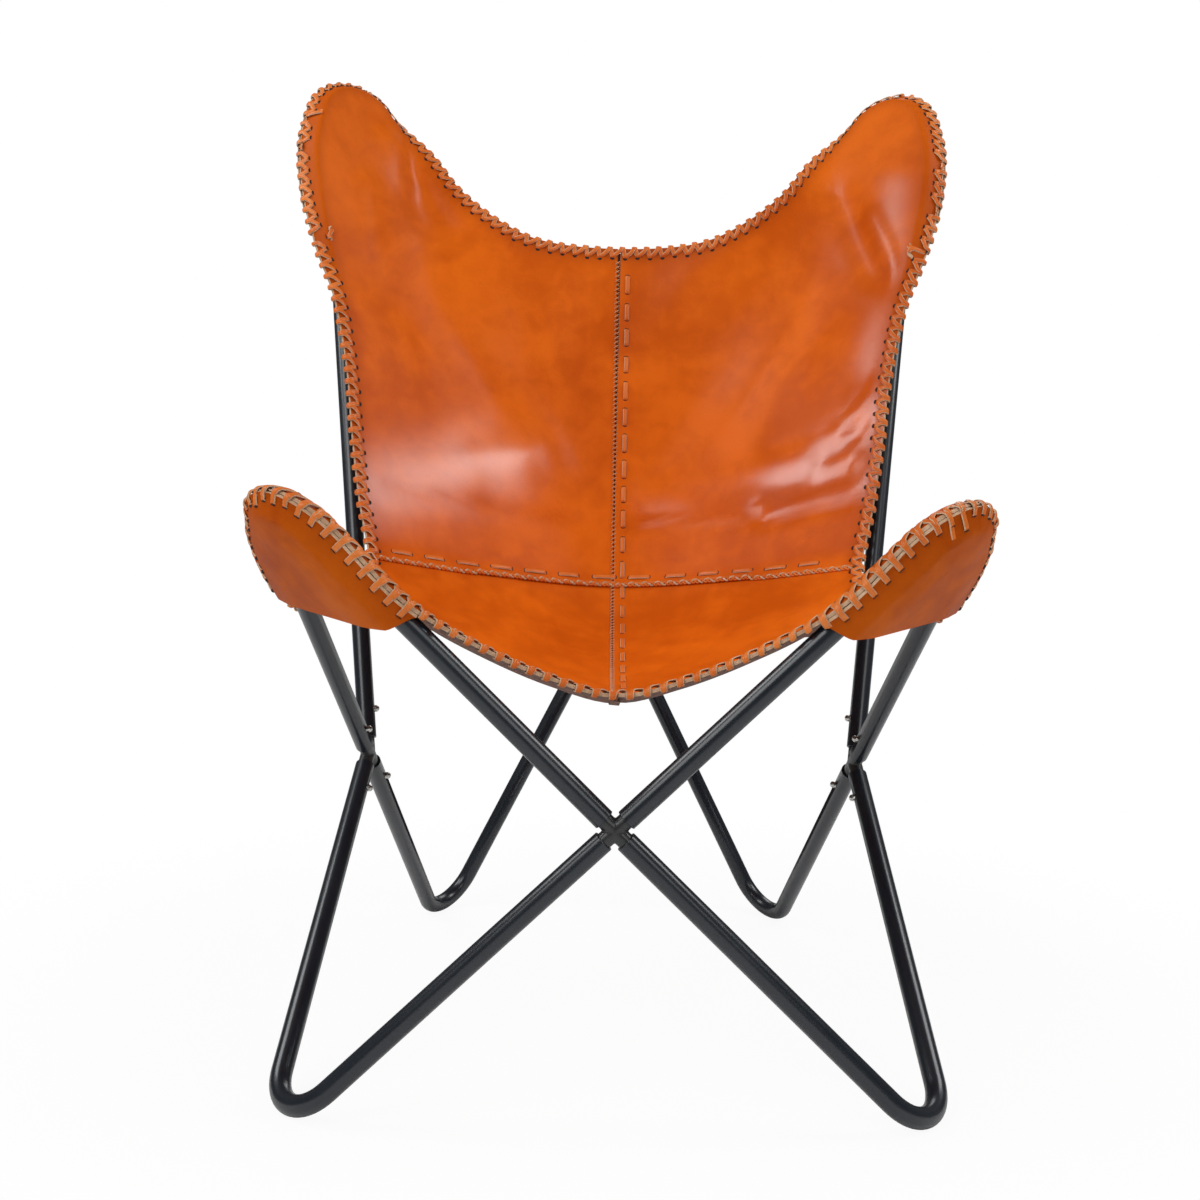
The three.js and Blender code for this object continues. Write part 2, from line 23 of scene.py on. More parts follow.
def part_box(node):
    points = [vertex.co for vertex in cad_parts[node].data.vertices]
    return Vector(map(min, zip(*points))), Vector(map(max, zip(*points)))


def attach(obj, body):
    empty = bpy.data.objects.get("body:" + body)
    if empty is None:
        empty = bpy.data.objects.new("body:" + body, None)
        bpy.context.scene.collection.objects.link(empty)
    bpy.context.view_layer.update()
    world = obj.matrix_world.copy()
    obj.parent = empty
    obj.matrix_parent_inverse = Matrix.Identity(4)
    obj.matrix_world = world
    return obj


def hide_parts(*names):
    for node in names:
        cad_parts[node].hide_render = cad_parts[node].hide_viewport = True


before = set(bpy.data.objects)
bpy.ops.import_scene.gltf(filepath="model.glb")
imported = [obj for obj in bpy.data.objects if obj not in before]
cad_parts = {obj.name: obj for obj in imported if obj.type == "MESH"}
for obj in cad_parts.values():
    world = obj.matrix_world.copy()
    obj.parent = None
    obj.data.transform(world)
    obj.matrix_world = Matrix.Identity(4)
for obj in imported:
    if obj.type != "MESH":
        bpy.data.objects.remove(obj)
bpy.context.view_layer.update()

logging.basicConfig(level=logging.INFO, format="%(message)s")
log = logging.getLogger("butterfly_chair")

MM = 0.001
BODY = "frame"
WHITE = (1.0, 1.0, 1.0, 1.0)
TINY = 1e-12
Array = np.ndarray
Faces = list[tuple[int, ...]]
Value = Union["Signal", float, Sequence[float]]


class Side(Enum):
    """The two mirrored halves of the chair, with the sign of x on each."""

    LEFT = -1
    RIGHT = 1

    @property
    def word(self) -> str:
        """The side's name as the pieces use it."""
        return self.name.lower()

    def place(self, points: Array | Sequence[float]) -> Array:
        """Points given for the left side, moved to this side."""
        placed = np.array(points, float)
        placed[..., 0] *= -self.value
        return placed


class Part(Enum):
    """The two halves of the sling, with the horns that each hangs on."""

    SEAT = "front"
    BACK = "rear"

    @property
    def word(self) -> str:
        """The part's name as the pieces use it."""
        return self.name.lower()


class Face(Enum):
    """The sling's near face or its far one, with the sign of the way out of it."""

    NEAR = 1
    FAR = -1


class Signal:
    """One output of a shader node, with arithmetic that adds Math nodes."""

    def __init__(self, graph: Graph, output: bpy.types.NodeSocket) -> None:
        """Keeps the graph and the output socket."""
        self.graph = graph
        self.output = output

    def _math(self, operation: str, first: Value, second: Value) -> Signal:
        """Adds one Math node.

        Args:
            operation: The node's operation.
            first: The left side.
            second: The right side.

        Returns:
            The node's result.
        """
        return self.graph.node("ShaderNodeMath", {"operation": operation}, {0: first, 1: second})

    def __add__(self, other: Value) -> Signal:
        """self + other"""
        return self._math("ADD", self, other)

    def __radd__(self, other: Value) -> Signal:
        """other + self"""
        return self._math("ADD", other, self)

    def __sub__(self, other: Value) -> Signal:
        """self - other"""
        return self._math("SUBTRACT", self, other)

    def __rsub__(self, other: Value) -> Signal:
        """other - self"""
        return self._math("SUBTRACT", other, self)

    def __mul__(self, other: Value) -> Signal:
        """self * other"""
        return self._math("MULTIPLY", self, other)

    def __rmul__(self, other: Value) -> Signal:
        """other * self"""
        return self._math("MULTIPLY", other, self)

    def ramp(self, low: float, high: float) -> Signal:
        """Goes smoothly from 0 at low to 1 at high.

        Args:
            low: The value that gives 0.
            high: The value that gives 1.

        Returns:
            The eased signal.
        """
        settings = {"interpolation_type": "SMOOTHSTEP"}
        inputs = {"Value": self, "From Min": low, "From Max": high}
        return self.graph.node("ShaderNodeMapRange", settings, inputs)


class Graph:
    """The node tree of a new material or world."""

    def __init__(self, owner: bpy.types.Material | bpy.types.World) -> None:
        """Empties the owner's node tree."""
        owner.use_nodes = True
        self.owner = owner
        self.tree = owner.node_tree
        self.tree.nodes.clear()

    def node(
        self, kind: str, settings: dict | None = None, inputs: dict | None = None, output: int | str = 0
    ) -> Signal:
        """Adds a node.

        Args:
            kind: The node's type.
            settings: Its properties, set before its sockets.
            inputs: Values or signals, by socket name or index.
            output: The name or index of the output that is wanted.

        Returns:
            That output as a signal.
        """
        made = self.tree.nodes.new(kind)
        for key, value in (settings or {}).items():
            setattr(made, key, value)
        for key, value in (inputs or {}).items():
            if isinstance(value, Signal):
                self.tree.links.new(value.output, made.inputs[key])
            else:
                made.inputs[key].default_value = value
        return Signal(self, made.outputs[output])

    def mix(self, factor: Value, first: Value, second: Value) -> Signal:
        """Mixes two colours.

        Args:
            factor: 0 for the first colour and 1 for the second.
            first: The first colour.
            second: The second colour.

        Returns:
            The mixed colour.
        """
        return self.node("ShaderNodeMix", {"data_type": "RGBA"}, {0: factor, 6: first, 7: second}, 2)

    def blend(self, factor: Value, first: Signal, second: Signal) -> Signal:
        """Mixes two shaders.

        Args:
            factor: 0 for the first shader and 1 for the second.
            first: The first shader.
            second: The second shader.

        Returns:
            The mixed shader.
        """
        return self.node("ShaderNodeMixShader", None, {0: factor, 1: first, 2: second})

    def place(self) -> Signal:
        """The surface point in the piece's own metres."""
        return self.node("ShaderNodeTexCoord", output="Object")

    def mark(self, name: str) -> Signal:
        """A number that the mesh carries at each of its points."""
        return self.node("ShaderNodeAttribute", {"attribute_name": name}, None, "Fac")

    def ray(self, kind: str) -> Signal:
        """1 where a ray of this kind arrives."""
        return self.node("ShaderNodeLightPath", output=kind)

    def noise(self, scale: float, detail: float = 2.0, distortion: float = 0.0) -> Signal:
        """Noise over the surface.

        Args:
            scale: Features in a metre.
            detail: Octaves.
            distortion: How far it is stirred.

        Returns:
            A value near 0.5.
        """
        inputs = {"Vector": self.place(), "Scale": scale, "Detail": detail, "Distortion": distortion}
        return self.node("ShaderNodeTexNoise", None, inputs)

    def bump(self, height: Signal, depth: float) -> Signal:
        """A normal from a height.

        Args:
            height: The height signal.
            depth: Metres for a height of 1.

        Returns:
            The normal.
        """
        return self.node("ShaderNodeBump", None, {"Height": height, "Distance": depth, "Strength": 1.0})

    def close(self, shader: Signal) -> bpy.types.Material | bpy.types.World:
        """Connects the shader to the tree's output.

        Args:
            shader: The finished shader.

        Returns:
            The material or world.
        """
        is_world = isinstance(self.owner, bpy.types.World)
        end = self.tree.nodes.new("ShaderNodeOutputWorld" if is_world else "ShaderNodeOutputMaterial")
        self.tree.links.new(shader.output, end.inputs["Surface"])
        return self.owner

    def surface(self, inputs: dict[str, Value]) -> bpy.types.Material:
        """Ends the tree in one surface shader.

        Args:
            inputs: Values or signals for the shader's sockets.

        Returns:
            The material.
        """
        return self.close(self.node("ShaderNodeBsdfPrincipled", None, inputs))


@dataclass(frozen=True)
class PowderCoat:
    """Satin black powder coat with a very fine orange peel."""

    name: str = "black_powder"
    colour: tuple[float, ...] = (0.0056, 0.0090, 0.0150, 1.0)
    worn: tuple[float, ...] = (0.0085, 0.0125, 0.0190, 1.0)
    roughness: float = 0.32
    coat: float = 0.4
    coat_roughness: float = 0.16
    peel_depth: float = 0.000004

    def make(self) -> bpy.types.Material:
        """Builds the material."""
        g = Graph(bpy.data.materials.new(self.name))
        speckle = g.noise(1400, 2)
        cloud = g.noise(18, 3)
        peel = g.noise(300, 2)
        return g.surface({
            "Base Color": g.mix(cloud.ramp(0.4, 0.75), self.colour, self.worn),
            "Roughness": self.roughness + (cloud - 0.5) * 0.12 + (speckle - 0.5) * 0.06,
            "Specular IOR Level": 0.5,
            "Coat Weight": self.coat,
            "Coat Roughness": self.coat_roughness,
            "Normal": g.bump(peel + speckle * 0.1, self.peel_depth),
        })


@dataclass(frozen=True)
class BareMetal:
    """Plated or plain steel with fine brushing and small stains."""

    name: str
    colour: tuple[float, ...]
    stain: tuple[float, ...]
    roughness: float
    brush_depth: float = 0.00004

    def make(self) -> bpy.types.Material:
        """Builds the material."""
        g = Graph(bpy.data.materials.new(self.name))
        stains = g.noise(420, 3)
        return g.surface({
            "Base Color": g.mix(stains.ramp(0.5, 0.8), self.colour, self.stain),
            "Metallic": 1.0,
            "Roughness": self.roughness + (stains - 0.5) * 0.2,
            "Normal": g.bump(g.noise(1800, 2), self.brush_depth),
        })


@dataclass(frozen=True)
class GrainLeather:
    """The glossy grain side: orange tan, clouded, darker near laced edges, with pores and fine creases."""

    name: str
    light: tuple[float, ...] = (0.74, 0.140, 0.0055, 1.0)
    deep: tuple[float, ...] = (0.54, 0.085, 0.0030, 1.0)
    burnt: tuple[float, ...] = (0.33, 0.048, 0.0025, 1.0)
    roughness: float = 0.36
    coat: float = 0.01
    gloss: float = 0.05
    coat_roughness: float = 0.21
    grain_depth: float = 0.00015
    pore_scale: float = 900.0

    def make(self) -> bpy.types.Material:
        """Builds the material."""
        g = Graph(bpy.data.materials.new(self.name))
        wear, polish = g.mark("wear"), g.mark("polish")
        clouds = g.noise(7, 4, 0.6)
        mottle = g.noise(46, 4, 0.4)
        fibre = g.noise(420, 3)
        creases = g.noise(130, 4, 2.2)
        scuffs = g.noise(85, 5, 3.5).ramp(0.60, 0.72) * g.noise(9, 1).ramp(0.52, 0.66)
        cells = {"Vector": g.place(), "Scale": self.pore_scale, "Randomness": 1.0}
        pores = g.node("ShaderNodeTexVoronoi", {"feature": "SMOOTH_F1"}, cells)
        colour = g.mix((clouds * 0.75 + mottle * 0.25).ramp(0.36, 0.66), self.deep, self.light)
        colour = g.mix((1 - wear) * (0.35 + mottle * 0.5), colour, self.burnt)
        colour = g.mix(fibre.ramp(0.58, 0.8) * 0.16, colour, self.burnt)
        dulled = (mottle - 0.5) * 0.16 + scuffs * 0.2 + (1 - wear) * 0.08 - polish * 0.06
        height = pores * 0.55 + fibre * 0.25 + creases * 0.9 + scuffs * -0.8
        return g.surface({
            "Base Color": colour,
            "Roughness": self.roughness + dulled,
            "Specular IOR Level": self.gloss,
            "Coat Weight": self.coat + polish * (1.0 - scuffs * 0.4) + mottle * 0.01,
            "Coat Roughness": self.coat_roughness,
            "Normal": g.bump(height, self.grain_depth),
        })


@dataclass(frozen=True)
class FleshLeather:
    """The rough side, the raw cut edges, and the near-black painted shade in the mouths of the slots: matt,
    fibrous and clouded.
    """

    name: str
    light: tuple[float, ...]
    dark: tuple[float, ...]
    roughness: float = 0.78
    nap_depth: float = 0.0004

    def make(self) -> bpy.types.Material:
        """Builds the material."""
        g = Graph(bpy.data.materials.new(self.name))
        fibre = g.noise(700, 4, 1.5)
        cloud = g.noise(30, 3)
        return g.surface({
            "Base Color": g.mix((fibre * 0.6 + cloud * 0.4).ramp(0.35, 0.65), self.dark, self.light),
            "Roughness": self.roughness + (fibre - 0.5) * 0.2,
            "Normal": g.bump(fibre, self.nap_depth),
        })


class Finish(Enum):
    """Every finish on the chair."""

    TUBE = PowderCoat()
    WELD = PowderCoat("black_weld", (0.010, 0.011, 0.012, 1.0), (0.05, 0.05, 0.05, 1.0), 0.42)
    BUTTON = BareMetal("nickel_plate", (0.62, 0.61, 0.58, 1.0), (0.30, 0.28, 0.25, 1.0), 0.22)
    SPRING = BareMetal("spring_strip", (0.30, 0.31, 0.33, 1.0), (0.12, 0.10, 0.09, 1.0), 0.34)
    GRAIN = GrainLeather("tan_grain")
    # A darker copy of the tan grain: the pockets' shade is painted into its colours.
    POCKET = GrainLeather(
        "pocket_leather", (0.60, 0.118, 0.006, 1.0), (0.38, 0.058, 0.003, 1.0), gloss=0.015
    )
    THONG = GrainLeather(
        "thong_grain", (0.80, 0.225, 0.045, 1.0), (0.60, 0.120, 0.014, 1.0), (0.40, 0.085, 0.014, 1.0),
        roughness=0.38, coat=0.3
    )
    FLESH = FleshLeather("sling_underside", (0.20, 0.075, 0.038, 1.0), (0.085, 0.030, 0.015, 1.0))
    RAW = FleshLeather("raw_edge", (0.66, 0.43, 0.27, 1.0), (0.44, 0.25, 0.14, 1.0))
    # The slot finish paints the shade inside each laced hole as a near-black patch.
    SLOT = FleshLeather("slot_shadow", (0.022, 0.010, 0.006, 1.0), (0.010, 0.005, 0.003, 1.0))

    @property
    def material(self) -> bpy.types.Material:
        """The finish's material, made on first use."""
        return bpy.data.materials.get(self.value.name) or self.value.make()


class MeshDraft:
    """Vertices, faces, each face's finish and each vertex's marks, gathered before a mesh is made."""

    def __init__(self, finishes: Sequence[Finish]) -> None:
        """Starts empty, with the finishes that its faces may use."""
        self.finishes = list(finishes)
        self.points: list[Array] = []
        self.faces: Faces = []
        self.slots: list[int] = []
        self.wear: list[Array] = []
        self.polish: list[Array] = []
        self.count = 0

    def add(
        self, points: Array, faces: Iterable[tuple[int, ...]], finish: Finish, wear: Array | None = None,
        polish: Array | None = None
    ) -> int:
        """Adds points and the faces on them.

        Args:
            points: Rows of x, y, z in millimetres.
            faces: Corner indices, counted from these points.
            finish: The finish of the faces.
            wear: 0 for a worn point and 1 for a plain one.
            polish: 1 for a point that is rubbed to a shine and 0 for a plain one.

        Returns:
            The index of the first point.
        """
        first = self.count
        self.points.append(points)
        self.wear.append(np.ones(len(points)) if wear is None else wear)
        self.polish.append(np.zeros(len(points)) if polish is None else polish)
        self.count += len(points)
        self.more_faces((tuple(i + first for i in face) for face in faces), finish)
        return first

    def more_faces(self, faces: Iterable[tuple[int, ...]], finish: Finish) -> None:
        """Adds faces on points that are already there.

        Args:
            faces: Corner indices, counted from the draft's first point.
            finish: The finish of the faces.
        """
        slot = self.finishes.index(finish)
        for face in faces:
            self.faces.append(tuple(face))
            self.slots.append(slot)

    def build(self, name: str, smooth_angle: float = 40.0) -> bpy.types.Object:
        """Makes the object, with sharp edges past an angle.

        Args:
            name: The object's name.
            smooth_angle: Edges sharper than this many degrees stay sharp.

        Returns:
            The new object, linked to the scene.
        """
        mesh = bpy.data.meshes.new(name)
        mesh.from_pydata((np.vstack(self.points) * MM).tolist(), [], self.faces)
        mesh.polygons.foreach_set("material_index", self.slots)
        for mark, values in (("wear", self.wear), ("polish", self.polish)):
            attribute = mesh.attributes.new(mark, "FLOAT", "POINT")
            attribute.data.foreach_set("value", np.concatenate(values).astype(np.float32))
        for finish in self.finishes:
            mesh.materials.append(finish.material)
        mesh.polygons.foreach_set("use_smooth", [True] * len(mesh.polygons))
        made = bpy.data.objects.new(name, mesh)
        bpy.context.scene.collection.objects.link(made)
        edit = bmesh.new()
        edit.from_mesh(mesh)
        bmesh.ops.recalc_face_normals(edit, faces=edit.faces)
        edit.to_mesh(mesh)
        edit.free()
        mesh.set_sharp_from_angle(angle=math.radians(smooth_angle))
        return made


def grid_faces(rows: int, columns: int, closed: bool = False) -> Faces:
    """Quads over a grid of points.

    Args:
        rows: Points along the grid.
        columns: Points across it.
        closed: Whether the last column joins the first.

    Returns:
        Corner indices of each quad.
    """
    quads: Faces = []
    for i in range(rows - 1):
        here, ahead = i * columns, (i + 1) * columns
        for j in range(columns if closed else columns - 1):
            beside = (j + 1) % columns
            quads.append((here + j, ahead + j, ahead + beside, here + beside))
    return quads


def unit(vector: Array) -> Array:
    """The vector, or each row of an array, at length 1."""
    return vector / np.maximum(np.linalg.norm(vector, axis=-1, keepdims=True), TINY)


def smooth(t: Array | float) -> Array:
    """Eases from 0 to 1."""
    x = np.clip(t, 0, 1)
    return x * x * (3 - 2 * x)


def flip(points: Array) -> Array:
    """Mirrors points from one side of the chair to the other."""
    return points * np.array([-1.0, 1.0, 1.0])


def scaled(anchor: Array, shares: Iterable[Sequence[float]]) -> list[Array]:
    """Places that follow an anchor.

    Args:
        anchor: The anchor's coordinates.
        shares: Rows of shares of those coordinates.

    Returns:
        One place for each row.
    """
    return [anchor * np.array(share) for share in shares]


def settle(piece: bpy.types.Object, body: str, *nodes: str) -> None:
    """Puts a piece on its body in place of the nodes that it stands for.

    Args:
        piece: The new piece.
        body: The body that it moves with.
        nodes: The plain solids that it replaces.
    """
    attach(piece, body)
    if nodes:
        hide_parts(*nodes)
    log.info("made %s: %d faces on %s", piece.name, len(piece.data.polygons), body)


def trim(piece: bpy.types.Object) -> None:
    """Settles a piece of lacing or stitching on the frame."""
    settle(piece, BODY)


@dataclass(frozen=True)
class Bend:
    """A bend between two straight rods, in millimetres before the chair is centred."""

    corner: Array
    end_a: Array
    end_b: Array
    radius: float

    @property
    def a(self) -> Array:
        """The way from the corner along the first rod."""
        return unit(self.end_a - self.corner)

    @property
    def b(self) -> Array:
        """The way from the corner along the second rod."""
        return unit(self.end_b - self.corner)

    @property
    def half_angle(self) -> float:
        """Half the angle between the rods."""
        return math.acos(float(self.a @ self.b)) / 2

    @property
    def bisector(self) -> Array:
        """The way from the corner between the rods."""
        return unit(self.a + self.b)

    @property
    def centre(self) -> Array:
        """The middle of the bend's arc."""
        return self.corner + self.bisector * self.radius / math.sin(self.half_angle)

    @property
    def normal(self) -> Array:
        """Square to both rods."""
        return unit(np.cross(self.a, self.b))

    @property
    def tangent_length(self) -> float:
        """How far from the corner the arc starts."""
        return self.radius / math.tan(self.half_angle)

    @property
    def inner(self) -> Array:
        """Square to both rods, towards the sitter."""
        towards = np.array([-self.corner[0], -self.corner[1], 0.0])
        return self.normal if self.normal @ towards >= 0 else -self.normal

    def path(self, start_gap: float, end_gap: float, arc_steps: int) -> Array:
        """The middle line of the bent tube.

        Args:
            start_gap: How far short of the first rod's end it starts.
            end_gap: How far short of the second rod's end it stops.
            arc_steps: Steps round the bend.

        Returns:
            Points along the line.
        """
        start = self.corner + self.a * (np.linalg.norm(self.end_a - self.corner) - start_gap)
        stop = self.corner + self.b * (np.linalg.norm(self.end_b - self.corner) - end_gap)
        spoke = self.corner + self.a * self.tangent_length - self.centre
        onward = -self.a * self.radius
        turns = np.linspace(0, math.pi - 2 * self.half_angle, arc_steps + 1)
        arc = [self.centre + spoke * math.cos(t) + onward * math.sin(t) for t in turns]
        return np.array([start, *arc, stop])


@dataclass(frozen=True)
class Arm:
    """One stub of a cross, with its snap button."""

    name: str
    way: Array
    button_axis: Array
    button_at: Array


@dataclass
class Cross:
    """A welded cross and its four arms."""

    name: str
    at: Array
    inward: Array
    tube_start: float = 0.0
    arms: list[Arm] = field(default_factory=list)


@dataclass
class Tube:
    """A bent tube and the arms that it slides over."""

    name: str
    bend: Bend
    crosses: tuple[str, str]
    arms: tuple[str, str]


@dataclass
class ChairPlan:
    """The chair's driving sizes, and the lines worked out from them."""

    tube_diameter: float = 17.0
    tube_wall: float = 1.5
    gap: float = 0.3
    front_horn_radius: float = 38.0
    rear_horn_radius: float = 34.0
    foot_radius: float = 40.0
    floor_flat: float = 0.6
    foot_tries: int = 12
    tube_end_gap: float = 2.4
    button_from_end: float = 27.0
    front_cross: tuple[float, ...] = (0.0, -290.0, 226.5)
    back_cross: tuple[float, ...] = (0.0, 304.0, 341.0)
    side_cross: tuple[float, ...] = (-227.0, 17.0, 222.5)
    front_foot: tuple[float, ...] = (-260.0, -296.0)
    rear_foot: tuple[float, ...] = (-186.0, 296.0)
    front_horn: tuple[float, ...] = (-272.0, -284.0, 490.0)
    rear_horn: tuple[float, ...] = (-325.0, 318.0, 979.0)
    tubes: list[Tube] = field(default_factory=list)
    crosses: dict[str, Cross] = field(default_factory=dict)

    def __post_init__(self) -> None:
        """Works out the tubes, the crosses and where the buttons sit."""
        self.radius = self.tube_diameter / 2
        low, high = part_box("cross_front")
        self.shift = (low[1] + high[1]) / 2 / MM - self.front_cross[1]
        for name, at, inward in (
            ("front", self.front_cross, (0, 1, 0)),
            ("back", self.back_cross, (0, -1, 0)),
            ("left", Side.LEFT.place(self.side_cross), (1, 0, 0)),
            ("right", Side.RIGHT.place(self.side_cross), (-1, 0, 0)),
        ):
            self.crosses[name] = Cross(name, np.array(at), np.array(inward, float))
        for side in Side:
            self._add_tubes(side)
        self._place_arms()

    def _foot(self, at: Sequence[float], end_a: Array, end_b: Array) -> Bend:
        """The bend of a foot, with its underside on the floor.

        Args:
            at: The corner's x and y.
            end_a: The middle of the first cross.
            end_b: The middle of the second cross.

        Returns:
            The bend.
        """
        corner = np.array([at[0], at[1], 0.0])
        for _ in range(self.foot_tries):
            bend = Bend(corner.copy(), end_a, end_b, self.foot_radius)
            steep = math.sqrt(1 - bend.normal[2] ** 2)
            corner[2] -= bend.centre[2] - self.foot_radius * steep - self.radius + self.floor_flat
        return Bend(corner, end_a, end_b, self.foot_radius)

    def _add_tubes(self, side: Side) -> None:
        """Adds the four tubes of one side.

        Args:
            side: The side of the chair.
        """
        word, middle = side.word, self.crosses[side.word].at
        for name, at, cross, arm in (
            ("leg_front", self.front_foot, "front", "lower_front"),
            ("leg_rear", self.rear_foot, "back", "lower_rear"),
        ):
            bend = self._foot(side.place(at), self.crosses[cross].at, middle)
            self.tubes.append(Tube(f"{name}_{word}", bend, (cross, word), (f"lower_{word}", arm)))
        for name, at, cross, arm, radius in (
            ("horn_front", self.front_horn, "front", "upper_front", self.front_horn_radius),
            ("horn_rear", self.rear_horn, "back", "upper_rear", self.rear_horn_radius),
        ):
            bend = Bend(side.place(at), self.crosses[cross].at, middle, radius)
            self.tubes.append(Tube(f"{name}_{word}", bend, (cross, word), (f"upper_{word}", arm)))

    def _place_arms(self) -> None:
        """Finds where the tubes start on each cross and where each button sits."""
        ways: dict[str, list[tuple[str, Array]]] = {name: [] for name in self.crosses}
        for tube in self.tubes:
            ways[tube.crosses[0]].append((tube.arms[0], -tube.bend.a))
            ways[tube.crosses[1]].append((tube.arms[1], -tube.bend.b))
        for name, found in ways.items():
            cross = self.crosses[name]
            angles = [
                math.acos(float(one @ other))
                for i, (_, one) in enumerate(found)
                for _, other in found[i + 1:]
            ]
            cross.tube_start = self.radius / math.tan(min(angles) / 2) + self.tube_end_gap
            for arm_name, way in found:
                axis = unit(cross.inward - way * (cross.inward @ way))
                at = cross.at + way * (cross.tube_start + self.button_from_end)
                cross.arms.append(Arm(arm_name, way, axis, at))

    def moved(self, points: Array) -> Array:
        """Points of the plan in the chair's own frame."""
        return points + np.array([0.0, self.shift, 0.0])

    def bend_of(self, name: str) -> Bend:
        """The bend of the tube of this name."""
        return next(tube.bend for tube in self.tubes if tube.name == name)


def ring(at: Array, way: Array, up: Array, radius: float, sides: int) -> Array:
    """Points on a circle square to a direction.

    Args:
        at: The circle's middle.
        way: The direction that it is square to.
        up: Any direction that isn't along way.
        radius: The circle's radius.
        sides: How many points.

    Returns:
        The points.
    """
    across = unit(np.cross(way, up))
    other = np.cross(across, way)
    turns = np.linspace(0, 2 * math.pi, sides, endpoint=False)[:, None]
    return at + radius * (np.cos(turns) * across + np.sin(turns) * other)


def rod(draft: MeshDraft, start: Array, stop: Array, radius: float, sides: int, finish: Finish) -> None:
    """Adds a closed round bar to a draft.

    Args:
        draft: The draft to add to.
        start: One end's middle.
        stop: The other end's middle.
        radius: The bar's radius.
        sides: How many sides.
        finish: Its finish.
    """
    way = unit(stop - start)
    askew = np.array([0.31, 0.52, 0.79])
    points = np.vstack([ring(p, way, askew, radius, sides) for p in (start, stop)])
    faces = grid_faces(2, sides, True)
    faces.append(tuple(range(sides)))
    faces.append(tuple(range(2 * sides - 1, sides - 1, -1)))
    draft.add(points, faces, finish)


def cut(piece: bpy.types.Object, cutter: bpy.types.Object) -> None:
    """Cuts one object out of another and removes the cutter.

    Args:
        piece: The object that is cut.
        cutter: The shape of the hole.
    """
    modifier = piece.modifiers.new("cut", "BOOLEAN")
    modifier.operation = "DIFFERENCE"
    modifier.solver = "EXACT"
    modifier.object = cutter
    apply_modifiers(piece)
    bpy.data.objects.remove(cutter)


def apply_modifiers(piece: bpy.types.Object) -> None:
    """Turns a piece's modifiers into its mesh.

    Args:
        piece: The object with modifiers.
    """
    graph = bpy.context.evaluated_depsgraph_get()
    shaped = piece.evaluated_get(graph)
    made = bpy.data.meshes.new_from_object(shaped, preserve_all_data_layers=True, depsgraph=graph)
    old = piece.data
    piece.modifiers.clear()
    piece.data = made
    made.name = old.name
    bpy.data.meshes.remove(old)


